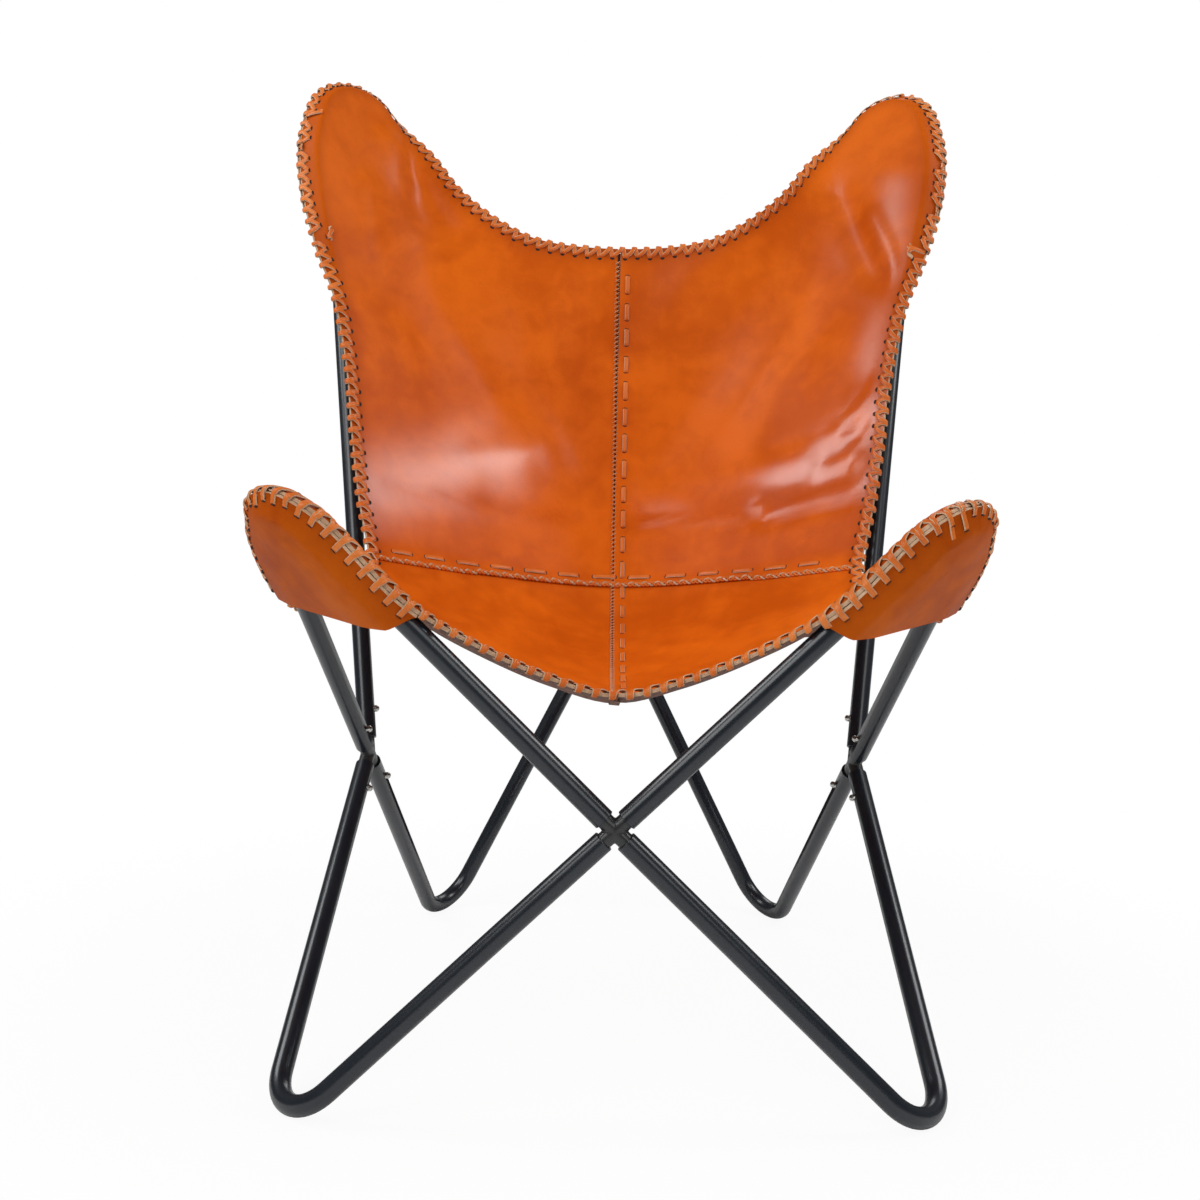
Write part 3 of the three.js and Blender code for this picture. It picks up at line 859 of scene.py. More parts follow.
@dataclass
class TubeFrame:
    """The bent tubes, the welded crosses and the snap buttons."""

    plan: ChairPlan
    tube_sides: int = 32
    arc_steps: int = 20
    end_rounding: float = 0.35
    stub_length: float = 62.0
    stub_bore_start: float = 14.0
    stub_wall: float = 1.5
    stub_sides: int = 28
    weld_radius: float = 8.6
    weld_voxel: float = 0.75
    weld_passes: int = 4
    weld_angle: float = 50.0
    bead_radius: float = 3.4
    bead_sides: int = 10
    bead_proud: float = 0.01
    opposed: float = -0.9
    bore_sides: int = 20
    bore_overrun: float = 5.0
    button_diameter: float = 6.3
    button_proud: float = 4.5
    button_sides: int = 24
    dome_steps: int = 7
    dome_turns: tuple[float, float] = (0.2, 1.45)
    dome_tip: float = 0.02
    hole_clearance: float = 0.35
    spring_reach: float = 4.1
    spring_thickness: float = 0.8
    spring_leg: float = 14.0
    spring_width: float = 4.6

    def __post_init__(self) -> None:
        """Works out the stub's radius from the tube's bore."""
        self.bore = self.plan.radius - self.plan.tube_wall
        self.stub_radius = self.bore - self.plan.gap

    def build(self) -> None:
        """Makes every piece of the frame."""
        for tube in self.plan.tubes:
            self._tube(tube)
        for cross in self.plan.crosses.values():
            self._cross(cross)
            for arm in cross.arms:
                self._button(cross, arm)
        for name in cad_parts:
            if name.startswith("spring"):
                strip = bpy.data.objects[name].data
                strip.materials.clear()
                strip.materials.append(Finish.SPRING.material)

    def _holes(self, arms: Sequence[Arm]) -> bpy.types.Object:
        """Bars where the buttons come through.

        Args:
            arms: The arms whose buttons pass the wall.

        Returns:
            One cutter.
        """
        draft = MeshDraft([Finish.WELD])
        reach = self.plan.tube_diameter
        radius = self.button_diameter / 2 + self.hole_clearance
        for arm in arms:
            at = self.plan.moved(arm.button_at)
            rod(draft, at, at + arm.button_axis * reach, radius, self.bore_sides, Finish.WELD)
        return draft.build("button_holes")

    def _skin(self, tube: Tube) -> list[Array]:
        """The rings of a bent tube, along its outside and back along its bore.

        Args:
            tube: The tube.

        Returns:
            The points of each ring.
        """
        starts = [self.plan.crosses[name].tube_start for name in tube.crosses]
        path = self.plan.moved(tube.bend.path(starts[0], starts[1], self.arc_steps))
        first, last = path[1] - path[0], path[-1] - path[-2]
        ways = [unit(way) for way in (first, first, *(path[3:-1] - path[1:-3]), last, last)]
        outer, lip, end = self.plan.radius, self.end_rounding, len(path) - 1
        inside = range(1, end)

        def station(i: int, step: float, radius: float) -> Array:
            """One ring near the path's point i."""
            return ring(path[i] + ways[i] * step, ways[i], tube.bend.normal, radius, self.tube_sides)

        return [
            station(0, 0.0, outer - lip),
            station(0, lip, outer),
            *(station(i, 0.0, outer) for i in inside),
            station(end, -lip, outer),
            station(end, 0.0, outer - lip),
            station(end, 0.0, self.bore),
            *(station(i, 0.0, self.bore) for i in reversed(inside)),
            station(0, 0.0, self.bore),
        ]

    def _tube(self, tube: Tube) -> None:
        """Makes one bent tube, open at both ends, with its two button holes.

        Args:
            tube: The tube.
        """
        sections = self._skin(tube)
        sides, back = self.tube_sides, (len(sections) - 1) * self.tube_sides
        faces = grid_faces(len(sections), sides, True)
        faces += [(back + j, j, (j + 1) % sides, back + (j + 1) % sides) for j in range(sides)]
        points = np.vstack(sections)
        points[:, 2] = np.maximum(points[:, 2], 0.0)
        draft = MeshDraft([Finish.TUBE])
        draft.add(points, faces, Finish.TUBE)
        piece = draft.build(f"tube_{tube.name}")
        arms = [
            next(arm for arm in self.plan.crosses[cross].arms if arm.name == name)
            for cross, name in zip(tube.crosses, tube.arms)
        ]
        cut(piece, self._holes(arms))
        settle(piece, BODY, tube.name)

    def _cross(self, cross: Cross) -> None:
        """Makes one welded cross: four stubs on a weld bead, bored out towards their ends.

        Args:
            cross: The cross.
        """
        at = self.plan.moved(cross.at)
        draft = MeshDraft([Finish.WELD])
        for arm in cross.arms:
            rod(draft, at, at + arm.way * self.stub_length, self.stub_radius, self.stub_sides, Finish.WELD)
        for one, other in zip(cross.arms, cross.arms[1:] + cross.arms[:1]):
            between = unit(one.way + other.way) if one.way @ other.way > self.opposed else np.zeros(3)
            top = at + between * self.weld_radius + cross.inward * self.bead_proud
            rod(draft, at - between, top, self.bead_radius, self.bead_sides, Finish.WELD)
        piece = draft.build(f"weld_cross_{cross.name}")
        remesh = piece.modifiers.new("weld", "REMESH")
        remesh.mode = "VOXEL"
        remesh.voxel_size = self.weld_voxel * MM
        soften = piece.modifiers.new("soften", "SMOOTH")
        soften.iterations = self.weld_passes
        apply_modifiers(piece)
        bores = MeshDraft([Finish.WELD])
        bore = self.stub_radius - self.stub_wall
        for arm in cross.arms:
            start, stop = self.stub_bore_start, self.stub_length + self.bore_overrun
            rod(bores, at + arm.way * start, at + arm.way * stop, bore, self.bore_sides, Finish.WELD)
        cut(piece, bores.build("bores"))
        cut(piece, self._holes(cross.arms))
        piece.data.polygons.foreach_set("use_smooth", [True] * len(piece.data.polygons))
        piece.data.set_sharp_from_angle(angle=math.radians(self.weld_angle))
        settle(piece, BODY, f"cross_{cross.name}")

    def _button(self, cross: Cross, arm: Arm) -> None:
        """Makes one snap button: a domed pin on the moving leg of its spring.

        Args:
            cross: The cross that holds it.
            arm: Its stub.
        """
        node = f"button_{cross.name}_{arm.name}"
        at, axis = self.plan.moved(arm.button_at), arm.button_axis
        radius, sides = self.button_diameter / 2, self.button_sides
        base = self.spring_reach - self.spring_thickness
        neck = self.plan.radius + self.button_proud - radius
        profile = [(self.dome_tip, base), (radius, base), (radius, neck)]
        turns = np.linspace(*self.dome_turns, self.dome_steps)
        profile += [(radius * math.cos(t), neck + radius * math.sin(t)) for t in turns]
        sections = [ring(at + axis * height, axis, arm.way, wide, sides) for wide, height in profile]
        top = (len(profile) - 1) * sides
        faces = grid_faces(len(profile), sides, True)
        faces += [tuple(range(sides)), tuple(range(top, top + sides))]
        draft = MeshDraft([Finish.BUTTON, Finish.SPRING])
        draft.add(np.vstack(sections), faces, Finish.BUTTON)
        across = np.cross(arm.way, axis)
        corners = [
            at + arm.way * x + axis * y + across * z
            for x in (-self.spring_leg + self.plan.gap, self.spring_leg)
            for y in (base, self.spring_reach)
            for z in (-self.spring_width / 2, self.spring_width / 2)
        ]
        box = [(0, 1, 3, 2), (4, 6, 7, 5), (0, 4, 5, 1), (2, 3, 7, 6), (0, 2, 6, 4), (1, 5, 7, 3)]
        draft.add(np.array(corners), box, Finish.SPRING)
        piece = draft.build(f"snap_{node}")
        settle(piece, node, node)


class Line:
    """A smooth curve through points, as the plan of the sling draws it."""

    def __init__(self, points: Sequence[Array]) -> None:
        """Keeps the points."""
        self.points = np.array(points, float)

    def at(self, t: Array | float) -> Array:
        """Points on the curve.

        Args:
            t: Shares along it, from 0 to 1, of the stretches between its points.

        Returns:
            One row for each share.
        """
        pts = self.points
        count = len(pts)
        place = np.atleast_1d(np.asarray(t, float)) * (count - 1)
        cell = np.clip(np.floor(place).astype(int), 0, count - 2)
        w = (place - cell)[:, None]
        padded = np.vstack([2 * pts[0] - pts[1], pts, 2 * pts[-1] - pts[-2]])
        p0, p1, p2, p3 = (padded[cell + k] for k in range(4))
        pairs = ((p0, p1), (p1, p2), (p2, p3))
        steps = [np.sqrt(np.linalg.norm(q - p, axis=1, keepdims=True)) for p, q in pairs]
        d0, d1, d2 = (np.maximum(step, 1e-2) for step in steps)
        m1 = ((p1 - p0) / d0 - (p2 - p0) / (d0 + d1) + (p2 - p1) / d1) * d1
        m2 = ((p2 - p1) / d1 - (p3 - p1) / (d1 + d2) + (p3 - p2) / d2) * d1
        c2 = -3 * p1 + 3 * p2 - 2 * m1 - m2
        c3 = 2 * p1 - 2 * p2 + m1 + m2
        return p1 + m1 * w + c2 * w**2 + c3 * w**3


@dataclass(frozen=True)
class Fold:
    """A soft ridge or dent in the leather, along a line on the front view of the back."""

    start: tuple[float, float]
    stop: tuple[float, float]
    spread: float
    height: float

    def raise_at(self, points: Array) -> Array:
        """How far each point moves towards the sitter.

        Args:
            points: Points of the sling.

        Returns:
            One height for each.
        """
        flat = points[..., [0, 2]]
        start, stop = np.array(self.start), np.array(self.stop)
        run = stop - start
        share = np.clip(((flat - start) @ run) / max(float(run @ run), TINY), 0, 1)
        away = np.linalg.norm(flat - (start + share[..., None] * run), axis=-1)
        return self.height * np.exp(-((away / self.spread) ** 2))


@dataclass(frozen=True)
class Stretch:
    """The part of a line from one share of it to another."""

    line: Line
    start: float
    stop: float

    def at(self, t: Array | float) -> Array:
        """Points at shares of the stretch."""
        return self.line.at(self.start + (self.stop - self.start) * np.asarray(t, float))

    @property
    def span(self) -> float:
        """The straight distance between its ends."""
        return float(np.linalg.norm(self.at(0)[0] - self.at(1)[0]))


@dataclass(frozen=True)
class Quarter:
    """The four boundaries of a left quarter of the sling."""

    out: Stretch
    side: Stretch
    middle: Stretch
    across: Stretch


@dataclass
class SlingShape:
    """The leather's surface: four quarters between shared edges that lie on the horns."""

    plan: ChairPlan
    thickness: float = 3.0
    pocket_thickness: float = 2.4
    seam_gap: float = 0.6
    overhang: float = 18.0
    edge_ramp: float = 12.0
    pocket_ramp: float = 17.0
    pocket_bulge: float = 4.0
    bulge_reach: float = 46.0
    rest_gap: float = 0.8
    softness: float = 5.0
    front_inner: tuple = ((0.22, 1.05, 0.4), (0.39, 0.95, 0.3))
    front_outer: tuple = ((0.222, 1.55, -0.6), (0.348, 1.45, -0.8), (0.469, 1.28, 0.0))
    rear_inner: tuple = ((0.26, 1.77, 1.9),)
    rear_outer: tuple = (
        (0.224, 2.05, -0.5), (0.295, 1.95, -0.5), (0.366, 1.5, 0.1), (0.43, 0.9, 0.95),
        (0.532, 0.5, 1.44), (0.61, 0.48, 1.57), (0.7, 0.38, 1.84),
    )
    inner_turn: tuple = ((1.0, 0.1), (1.05, 0.2), (1.15, 0.3))
    front_outer_turn: tuple = ((1.0, -0.2), (1.05, -0.4), (1.2, -0.5))
    rear_outer_turn: tuple = ((1.05, -0.1), (1.2, -0.3), (1.45, -0.5))
    front_edge: tuple = ((0.397, 0.986, 0.739), (0.202, 0.937, 0.688))
    front_middle: tuple = (0.0, 0.908, 0.657)
    top_edge: tuple = ((0.536, 0.981, 0.806), (0.397, 0.95, 0.771), (0.263, 0.928, 0.751))
    top_middle: tuple = (0.0, 0.906, 0.742)
    side_edge: tuple = ((1.145, -0.312, 0.751), (1.084, -0.164, 0.755), (1.03, 0.02, 0.77))
    seam_end: tuple = (1.031, 0.191, 0.822)
    seam_quarter: tuple = (0.529, 0.46, 0.778)
    seat_seam: tuple = ((0.0, -0.44, 0.306), (0.0, 0.0, 0.296), (0.0, 0.314, 0.319))
    seam_middle: tuple = (0.0, 0.597, 0.377)
    back_seam: tuple = ((0.0, 0.755, 0.48), (0.0, 0.843, 0.613))
    front_pocket: tuple = (0.66, 0.54)
    rear_pocket: tuple = (0.55, 0.47)
    folds: tuple[Fold, ...] = (
        Fold((24, 430), (150, 446), 8.0, -2.6),
        Fold((150, 446), (252, 474), 9.0, -4.6),
        Fold((40, 458), (262, 506), 22.0, 4.6),
        Fold((160, 520), (252, 560), 14.0, -2.4),
        Fold((-262, 457), (-40, 428), 12.0, -1.6),
        Fold((-200, 478), (-90, 500), 28.0, 3.6),
        Fold((-221, 800), (-196, 752), 20.0, -6.5),
        Fold((-250, 838), (-234, 796), 15.0, 4.0),
        Fold((-268, 780), (-258, 720), 12.0, 2.6),
        Fold((205, 500), (262, 552), 9.0, -3.2),
        Fold((222, 532), (270, 578), 7.0, 2.8),
        Fold((232, 566), (276, 610), 7.0, -2.6),
        Fold((236, 792), (262, 700), 16.0, -4.5),
        Fold((262, 760), (284, 690), 9.0, 3.4),
        Fold((90, 735), (40, 640), 26.0, -2.6),
        Fold((-60, 700), (-130, 560), 40.0, -2.4),
    )
    shines: tuple[Fold, ...] = (
        Fold((-226, 470), (-112, 496), 34.0, 0.95),
        Fold((-150, 505), (-60, 500), 30.0, 0.35),
        Fold((152, 466), (258, 554), 15.0, 1.0),
        Fold((158, 464), (264, 488), 11.0, 0.85),
        Fold((205, 486), (268, 520), 17.0, 0.7),
        Fold((40, 442), (170, 462), 10.0, 0.45),
        Fold((274, 700), (286, 790), 13.0, 0.75),
        Fold((252, 600), (262, 660), 12.0, 0.5),
        Fold((-232, 800), (-205, 740), 16.0, 0.35),
        Fold((232, 790), (244, 720), 14.0, 0.3),
        Fold((70, 700), (120, 600), 40.0, 0.16),
        Fold((-130, 640), (-60, 560), 50.0, 0.14),
    )
    seam_step: float = 0.9
    seam_reach: float = 13.0
    rim_samples: int = 161

    def __post_init__(self) -> None:
        """Draws the edges and seams of the left half."""
        plan = self.plan
        self.lift = plan.radius + self.rest_gap + self.thickness / 2
        self.pocket_drop = plan.radius + plan.gap + self.pocket_thickness / 2
        front, rear = plan.bend_of("horn_front_left"), plan.bend_of("horn_rear_left")
        self.horns = {Part.SEAT: front, Part.BACK: rear}
        towards_back = np.array([plan.side_cross[0], plan.back_cross[1], plan.front_horn[2]])
        front_half = self._beside(front, front.a, front.end_a, self.inner_turn, self.front_inner)
        front_half += scaled(front.corner, self.front_edge)
        top_half = self._beside(rear, rear.a, rear.end_a, self.inner_turn, self.rear_inner)
        top_half += scaled(rear.corner, self.top_edge)
        side_front = self._beside(front, front.b, front.end_b, self.front_outer_turn, self.front_outer)
        side_front += scaled(towards_back, self.side_edge)
        side_rear = self._beside(rear, rear.b, rear.end_b, self.rear_outer_turn, self.rear_outer)
        front_middle = scaled(front.corner, [self.front_middle])[0]
        top_middle, seam_middle = scaled(rear.corner, [self.top_middle, self.seam_middle])
        seam_end, seam_quarter = scaled(towards_back, [self.seam_end, self.seam_quarter])
        self.front_line = self._mirrored(front_half, front_middle)
        self.top_line = self._mirrored(top_half, top_middle)
        self.cross_line = self._mirrored([seam_end, seam_quarter], seam_middle)
        self.side_line = Line([*side_front, seam_end, *reversed(side_rear)])
        self.side_share = len(side_front) / (len(side_front) + len(side_rear))
        seat_seam, back_seam = scaled(rear.corner, self.seat_seam), scaled(rear.corner, self.back_seam)
        self.centre_line = Line([front_middle, *seat_seam, seam_middle, *back_seam, top_middle])
        self.centre_share = (len(seat_seam) + 1) / (len(seat_seam) + len(back_seam) + 2)

    def _mirrored(self, half: Sequence[Array], middle: Array) -> Line:
        """A line across the chair, from its left half and its middle."""
        return Line([*half, middle, *[flip(point) for point in reversed(half)]])

    def _beside(self, bend: Bend, leg: Array, end: Array, turn: tuple, shares: tuple) -> list[Array]:
        """The edge from a horn's tip round the bend and along one rod.

        Args:
            bend: The horn's bend.
            leg: The way along the rod.
            end: The rod's far end.
            turn: Shares of the overhang and the lift round the bend.
            shares: Shares of the rod's length, of the overhang and of the lift along the rod.

        Returns:
            Points in order from the tip.
        """
        across = unit(leg - bend.bisector * (leg @ bend.bisector))
        outward = unit(across - leg * (across @ leg))
        quarter = math.pi / 2 - bend.half_angle
        points = [bend.centre - bend.bisector * (bend.radius + self.overhang)]
        for i, (overhang, height) in enumerate(turn):
            angle = quarter * (i + 1) / len(turn)
            spoke = -bend.bisector * math.cos(angle) + across * math.sin(angle)
            beside = spoke * (bend.radius + overhang * self.overhang)
            points.append(bend.centre + beside + bend.inner * height * self.lift)
        length = float(np.linalg.norm(end - bend.corner))
        for along, overhang, height in shares:
            beside = outward * overhang * self.overhang + bend.inner * height * self.lift
            points.append(bend.corner + leg * along * length + beside)
        return points

    def edges(self, part: Part) -> Quarter:
        """The four boundaries of a left quarter.

        Args:
            part: The seat or the back.

        Returns:
            The boundaries.
        """
        seat = part is Part.SEAT
        start = 0.0 if seat else 1.0
        return Quarter(
            out=Stretch(self.front_line if seat else self.top_line, 0.0, 0.5),
            side=Stretch(self.side_line, start, self.side_share),
            middle=Stretch(self.centre_line, start, self.centre_share),
            across=Stretch(self.cross_line, 0.0, 0.5),
        )

    def inset(self, points: Array, edges: Quarter) -> Array:
        """How far each point lies from a quarter's two outer edges.

        Args:
            points: Points of the quarter.
            edges: The quarter's boundaries.

        Returns:
            One distance for each point.
        """
        shares = np.linspace(0, 1, self.rim_samples)
        rim = np.vstack([edges.out.at(shares), edges.side.at(shares)])
        return np.linalg.norm(points[..., None, :] - rim, axis=-1).min(axis=-1)

    def overlap(self, away: Array) -> Array:
        """How far a panel stands above its neighbour, at distances from their seam."""
        return self.seam_step * smooth(1 - away / self.seam_reach)

    def clear(
        self, points: Array, bend: Bend, inset: Array, side: int, clearance: float, ramp: float
    ) -> Array:
        """Moves points off a horn's plane once they lie inside the edge.

        Args:
            points: The points.
            bend: The horn's bend.
            inset: How far inside the edge each point lies.
            side: 1 for the sitter's side and -1 for the outside.
            clearance: The least height off the plane.
            ramp: How far inside the edge the full height is reached.

        Returns:
            The moved points.
        """
        up = bend.inner * side
        short = clearance - (points - bend.corner) @ up
        needed = (short + np.hypot(short, self.softness)) / 2
        return points + up * (needed * smooth(inset / ramp))[..., None]

    def quarter(self, part: Part, steps: int) -> tuple[Array, Array]:
        """The middle surface of a left quarter.

        Args:
            part: The seat or the back.
            steps: Steps across and along.

        Returns:
            A grid of points, and how far each lies inside the edge.
        """
        edges = self.edges(part)
        near_edge = 1 - np.cos(np.linspace(0, math.pi / 2, steps + 1))
        u = near_edge * (1 - self.seam_gap / edges.across.span)
        v = near_edge * (1 - self.seam_gap / edges.middle.span)
        hu, hv = smooth(u)[:, None, None], smooth(v)[None, :, None]
        out, across = edges.out.at(u)[:, None, :], edges.across.at(u)[:, None, :]
        side, middle = edges.side.at(v)[None, :, :], edges.middle.at(v)[None, :, :]
        c00, c10 = edges.out.at(0)[0], edges.out.at(1)[0]
        c01, c11 = edges.across.at(0)[0], edges.across.at(1)[0]
        grid = out * (1 - hv) + across * hv + side * (1 - hu) + middle * hu
        grid = grid - (c00 * (1 - hu) * (1 - hv) + c10 * hu * (1 - hv) + c01 * (1 - hu) * hv + c11 * hu * hv)
        inset = self.inset(grid, edges)
        return self.clear(grid, self.horns[part], inset, 1, self.lift, self.edge_ramp), inset

    def pocket(self, part: Part, along: int, across: int) -> tuple[Array, Array]:
        """The middle surface of a left pocket.

        Args:
            part: The seat for the front pocket, the back for the rear one.
            along: Steps from the tip to the hem.
            across: Steps from edge to edge.

        Returns:
            A grid of points, and how far each lies inside the edge.
        """
        edges, bend = self.edges(part), self.horns[part]
        out_share, side_share = self.front_pocket if part is Part.SEAT else self.rear_pocket
        q = np.linspace(0, 1, along + 1)
        s = ((1 - np.cos(np.linspace(0, math.pi, across + 1))) / 2)[None, :, None]
        out, side = edges.out.at(q * out_share)[:, None, :], edges.side.at(q * side_share)[:, None, :]
        grid = out * (1 - s) + side * s
        inset = self.inset(grid, edges)
        below = (self.thickness + self.pocket_thickness) / 2 + self.plan.gap
        cleared = self.clear(grid, bend, inset, -1, self.pocket_drop, self.pocket_ramp)
        bulge = self.pocket_bulge * smooth(inset / self.bulge_reach)
        return cleared - bend.inner * (below + bulge[..., None]), inset


def face_normals(grid: Array) -> Array:
    """Normals at the points of a grid, from the faces round each.

    Args:
        grid: Rows and columns of points.

    Returns:
        Unit normals in the same layout.
    """
    p, q, r, s = grid[:-1, :-1], grid[1:, :-1], grid[1:, 1:], grid[:-1, 1:]
    faces = np.cross(r - p, s - q)
    normals = np.zeros_like(grid)
    for rows in (slice(None, -1), slice(1, None)):
        for columns in (slice(None, -1), slice(1, None)):
            normals[rows, columns] += faces
    return unit(normals)


def facing(grid: Array, up: Array) -> Array:
    """Normals at the points of a grid, turned to a direction.

    Args:
        grid: Rows and columns of points.
        up: A direction on the side that the normals point to.

    Returns:
        Unit normals in the same layout.
    """
    normals = face_normals(grid)
    return -normals if float(np.sum(normals.reshape(-1, 3) @ up)) < 0 else normals


def run_length(points: Array) -> float:
    """The length of a line through points."""
    return float(np.linalg.norm(np.diff(points, axis=0), axis=1).sum())


def sample(s: Array | float, reach: Array, rows: Array) -> Array:
    """Rows of three numbers at distances along a line.

    Args:
        s: One distance or several.
        reach: The distance of each row.
        rows: The rows.

    Returns:
        One row for each distance.
    """
    return np.stack([np.interp(s, reach, rows[:, k]) for k in range(3)], axis=-1)


class Skin:
    """One face of the whole sling, to be searched for places on it."""

    def __init__(self, sheets: Sequence[Array], come_from: float) -> None:
        """Builds the search tree.

        Args:
            sheets: Grids of points on the face.
            come_from: How far outside a search along a line starts.
        """
        self.come_from = come_from
        points: list[Array] = []
        faces: Faces = []
        for grid in sheets:
            first = sum(len(p) for p in points)
            faces += [tuple(i + first for i in face) for face in grid_faces(*grid.shape[:2])]
            points.append(grid.reshape(-1, 3))
        self.tree = BVHTree.FromPolygons(np.vstack(points).tolist(), faces)

    def nearest(self, point: Array) -> tuple[Array, Array]:
        """The closest place on the skin, and the skin's normal there."""
        place, normal, _, _ = self.tree.find_nearest(Vector(point))
        return np.array(place), np.array(normal)

    def met(self, point: Array, outward: Array) -> tuple[Array, Array]:
        """The first place met when coming in towards a point from outside.

        Args:
            point: A point near the edge.
            outward: The direction to come from.

        Returns:
            The place that is met, and the skin's normal there.
        """
        start = Vector(point + outward * self.come_from)
        place, normal, _, _ = self.tree.ray_cast(start, Vector(-outward), 2 * self.come_from)
        if place is None:
            return self.nearest(point + outward * 2)
        return np.array(place), np.array(normal)


class Rim:
    """The sling's whole edge as a closed line, with the distances along it."""

    def __init__(self, points: Array) -> None:
        """Measures the line through the points."""
        self.closed = np.vstack([points, points[:1]])
        steps = np.linalg.norm(np.diff(self.closed, axis=0), axis=1)
        self.reach = np.concatenate([[0.0], np.cumsum(steps)])
        self.total = self.reach[-1]

    def at(self, s: float) -> Array:
        """The point at a distance along the edge."""
        return sample(s % self.total, self.reach, self.closed)


@dataclass(frozen=True)
class EdgeSpot:
    """A place where the edge is laced, with the leather's directions there."""

    rim: Rim
    s: float
    tangent: Array
    normal: Array
    inward: Array
    skins: dict[Face, Skin]
    margin: float = 0.6
    least: float = 1.5
    tries: int = 7

    def on(self, face: Face, offset: float, inset: float, proud: float) -> Array:
        """A point just off one face of the leather.

        Args:
            face: The near face or the far one.
            offset: How far along the edge from the spot.
            inset: How far in from the edge.
            proud: How far off the leather.

        Returns:
            The point.
        """
        outward = self.normal * face.value
        base = self.rim.at(self.s + offset) + self.inward * inset
        place, normal = self.skins[face].met(base, outward)
        return place + (-normal if normal @ outward < 0 else normal) * proud

    def past(self, offset: float, out: float, up: float) -> Array:
        """A point in the air past the edge.

        Args:
            offset: How far along the edge from the spot.
            out: How far out from the edge.
            up: How far towards the sitter.

        Returns:
            The point.
        """
        return self.rim.at(self.s + offset) - self.inward * out + self.normal * up

    def hole(self, face: Face, wanted: float) -> float:
        """The inset that puts a hole at a distance from the edge along the leather.

        Args:
            face: The face that the hole is in.
            wanted: The distance along the leather.

        Returns:
            The inset.
        """
        start, low, high = self.on(face, 0, self.margin, 0), self.least, wanted
        for _ in range(self.tries):
            middle = (low + high) / 2
            reached = np.linalg.norm(self.on(face, 0, middle, 0) - start)
            low, high = (middle, high) if reached < wanted - self.margin else (low, middle)
        return (low + high) / 2


class Seam:
    """A seam's line laid on the near face, with its normals and the distances along it."""

    def __init__(self, points: Array, normals: Array) -> None:
        """Measures the line through the points."""
        self.points = points
        self.normals = normals
        steps = np.linalg.norm(np.diff(points, axis=0), axis=1)
        self.reach = np.concatenate([[0.0], np.cumsum(steps)])

    @property
    def across(self) -> Array:
        """The direction over the seam at each of its points."""
        return np.cross(self.normals, unit(np.gradient(self.points, axis=0)))

    def at(self, s: Array | float, proud: float = 0.0) -> Array:
        """Points over the seam at distances along it."""
        return sample(s, self.reach, self.points) + self.up(s) * proud

    def up(self, s: Array | float) -> Array:
        """The leather's normals at distances along the seam."""
        return sample(s, self.reach, self.normals)

    def way(self, s: float) -> Array:
        """The seam's direction at a distance along it."""
        return unit(self.at(s + 2) - self.at(s - 2))


@dataclass(frozen=True)
class LaceRun:
    """A running lace beside a seam, in millimetres."""

    line: Line
    shift: tuple[float, float, float]
    period: float
    length: float


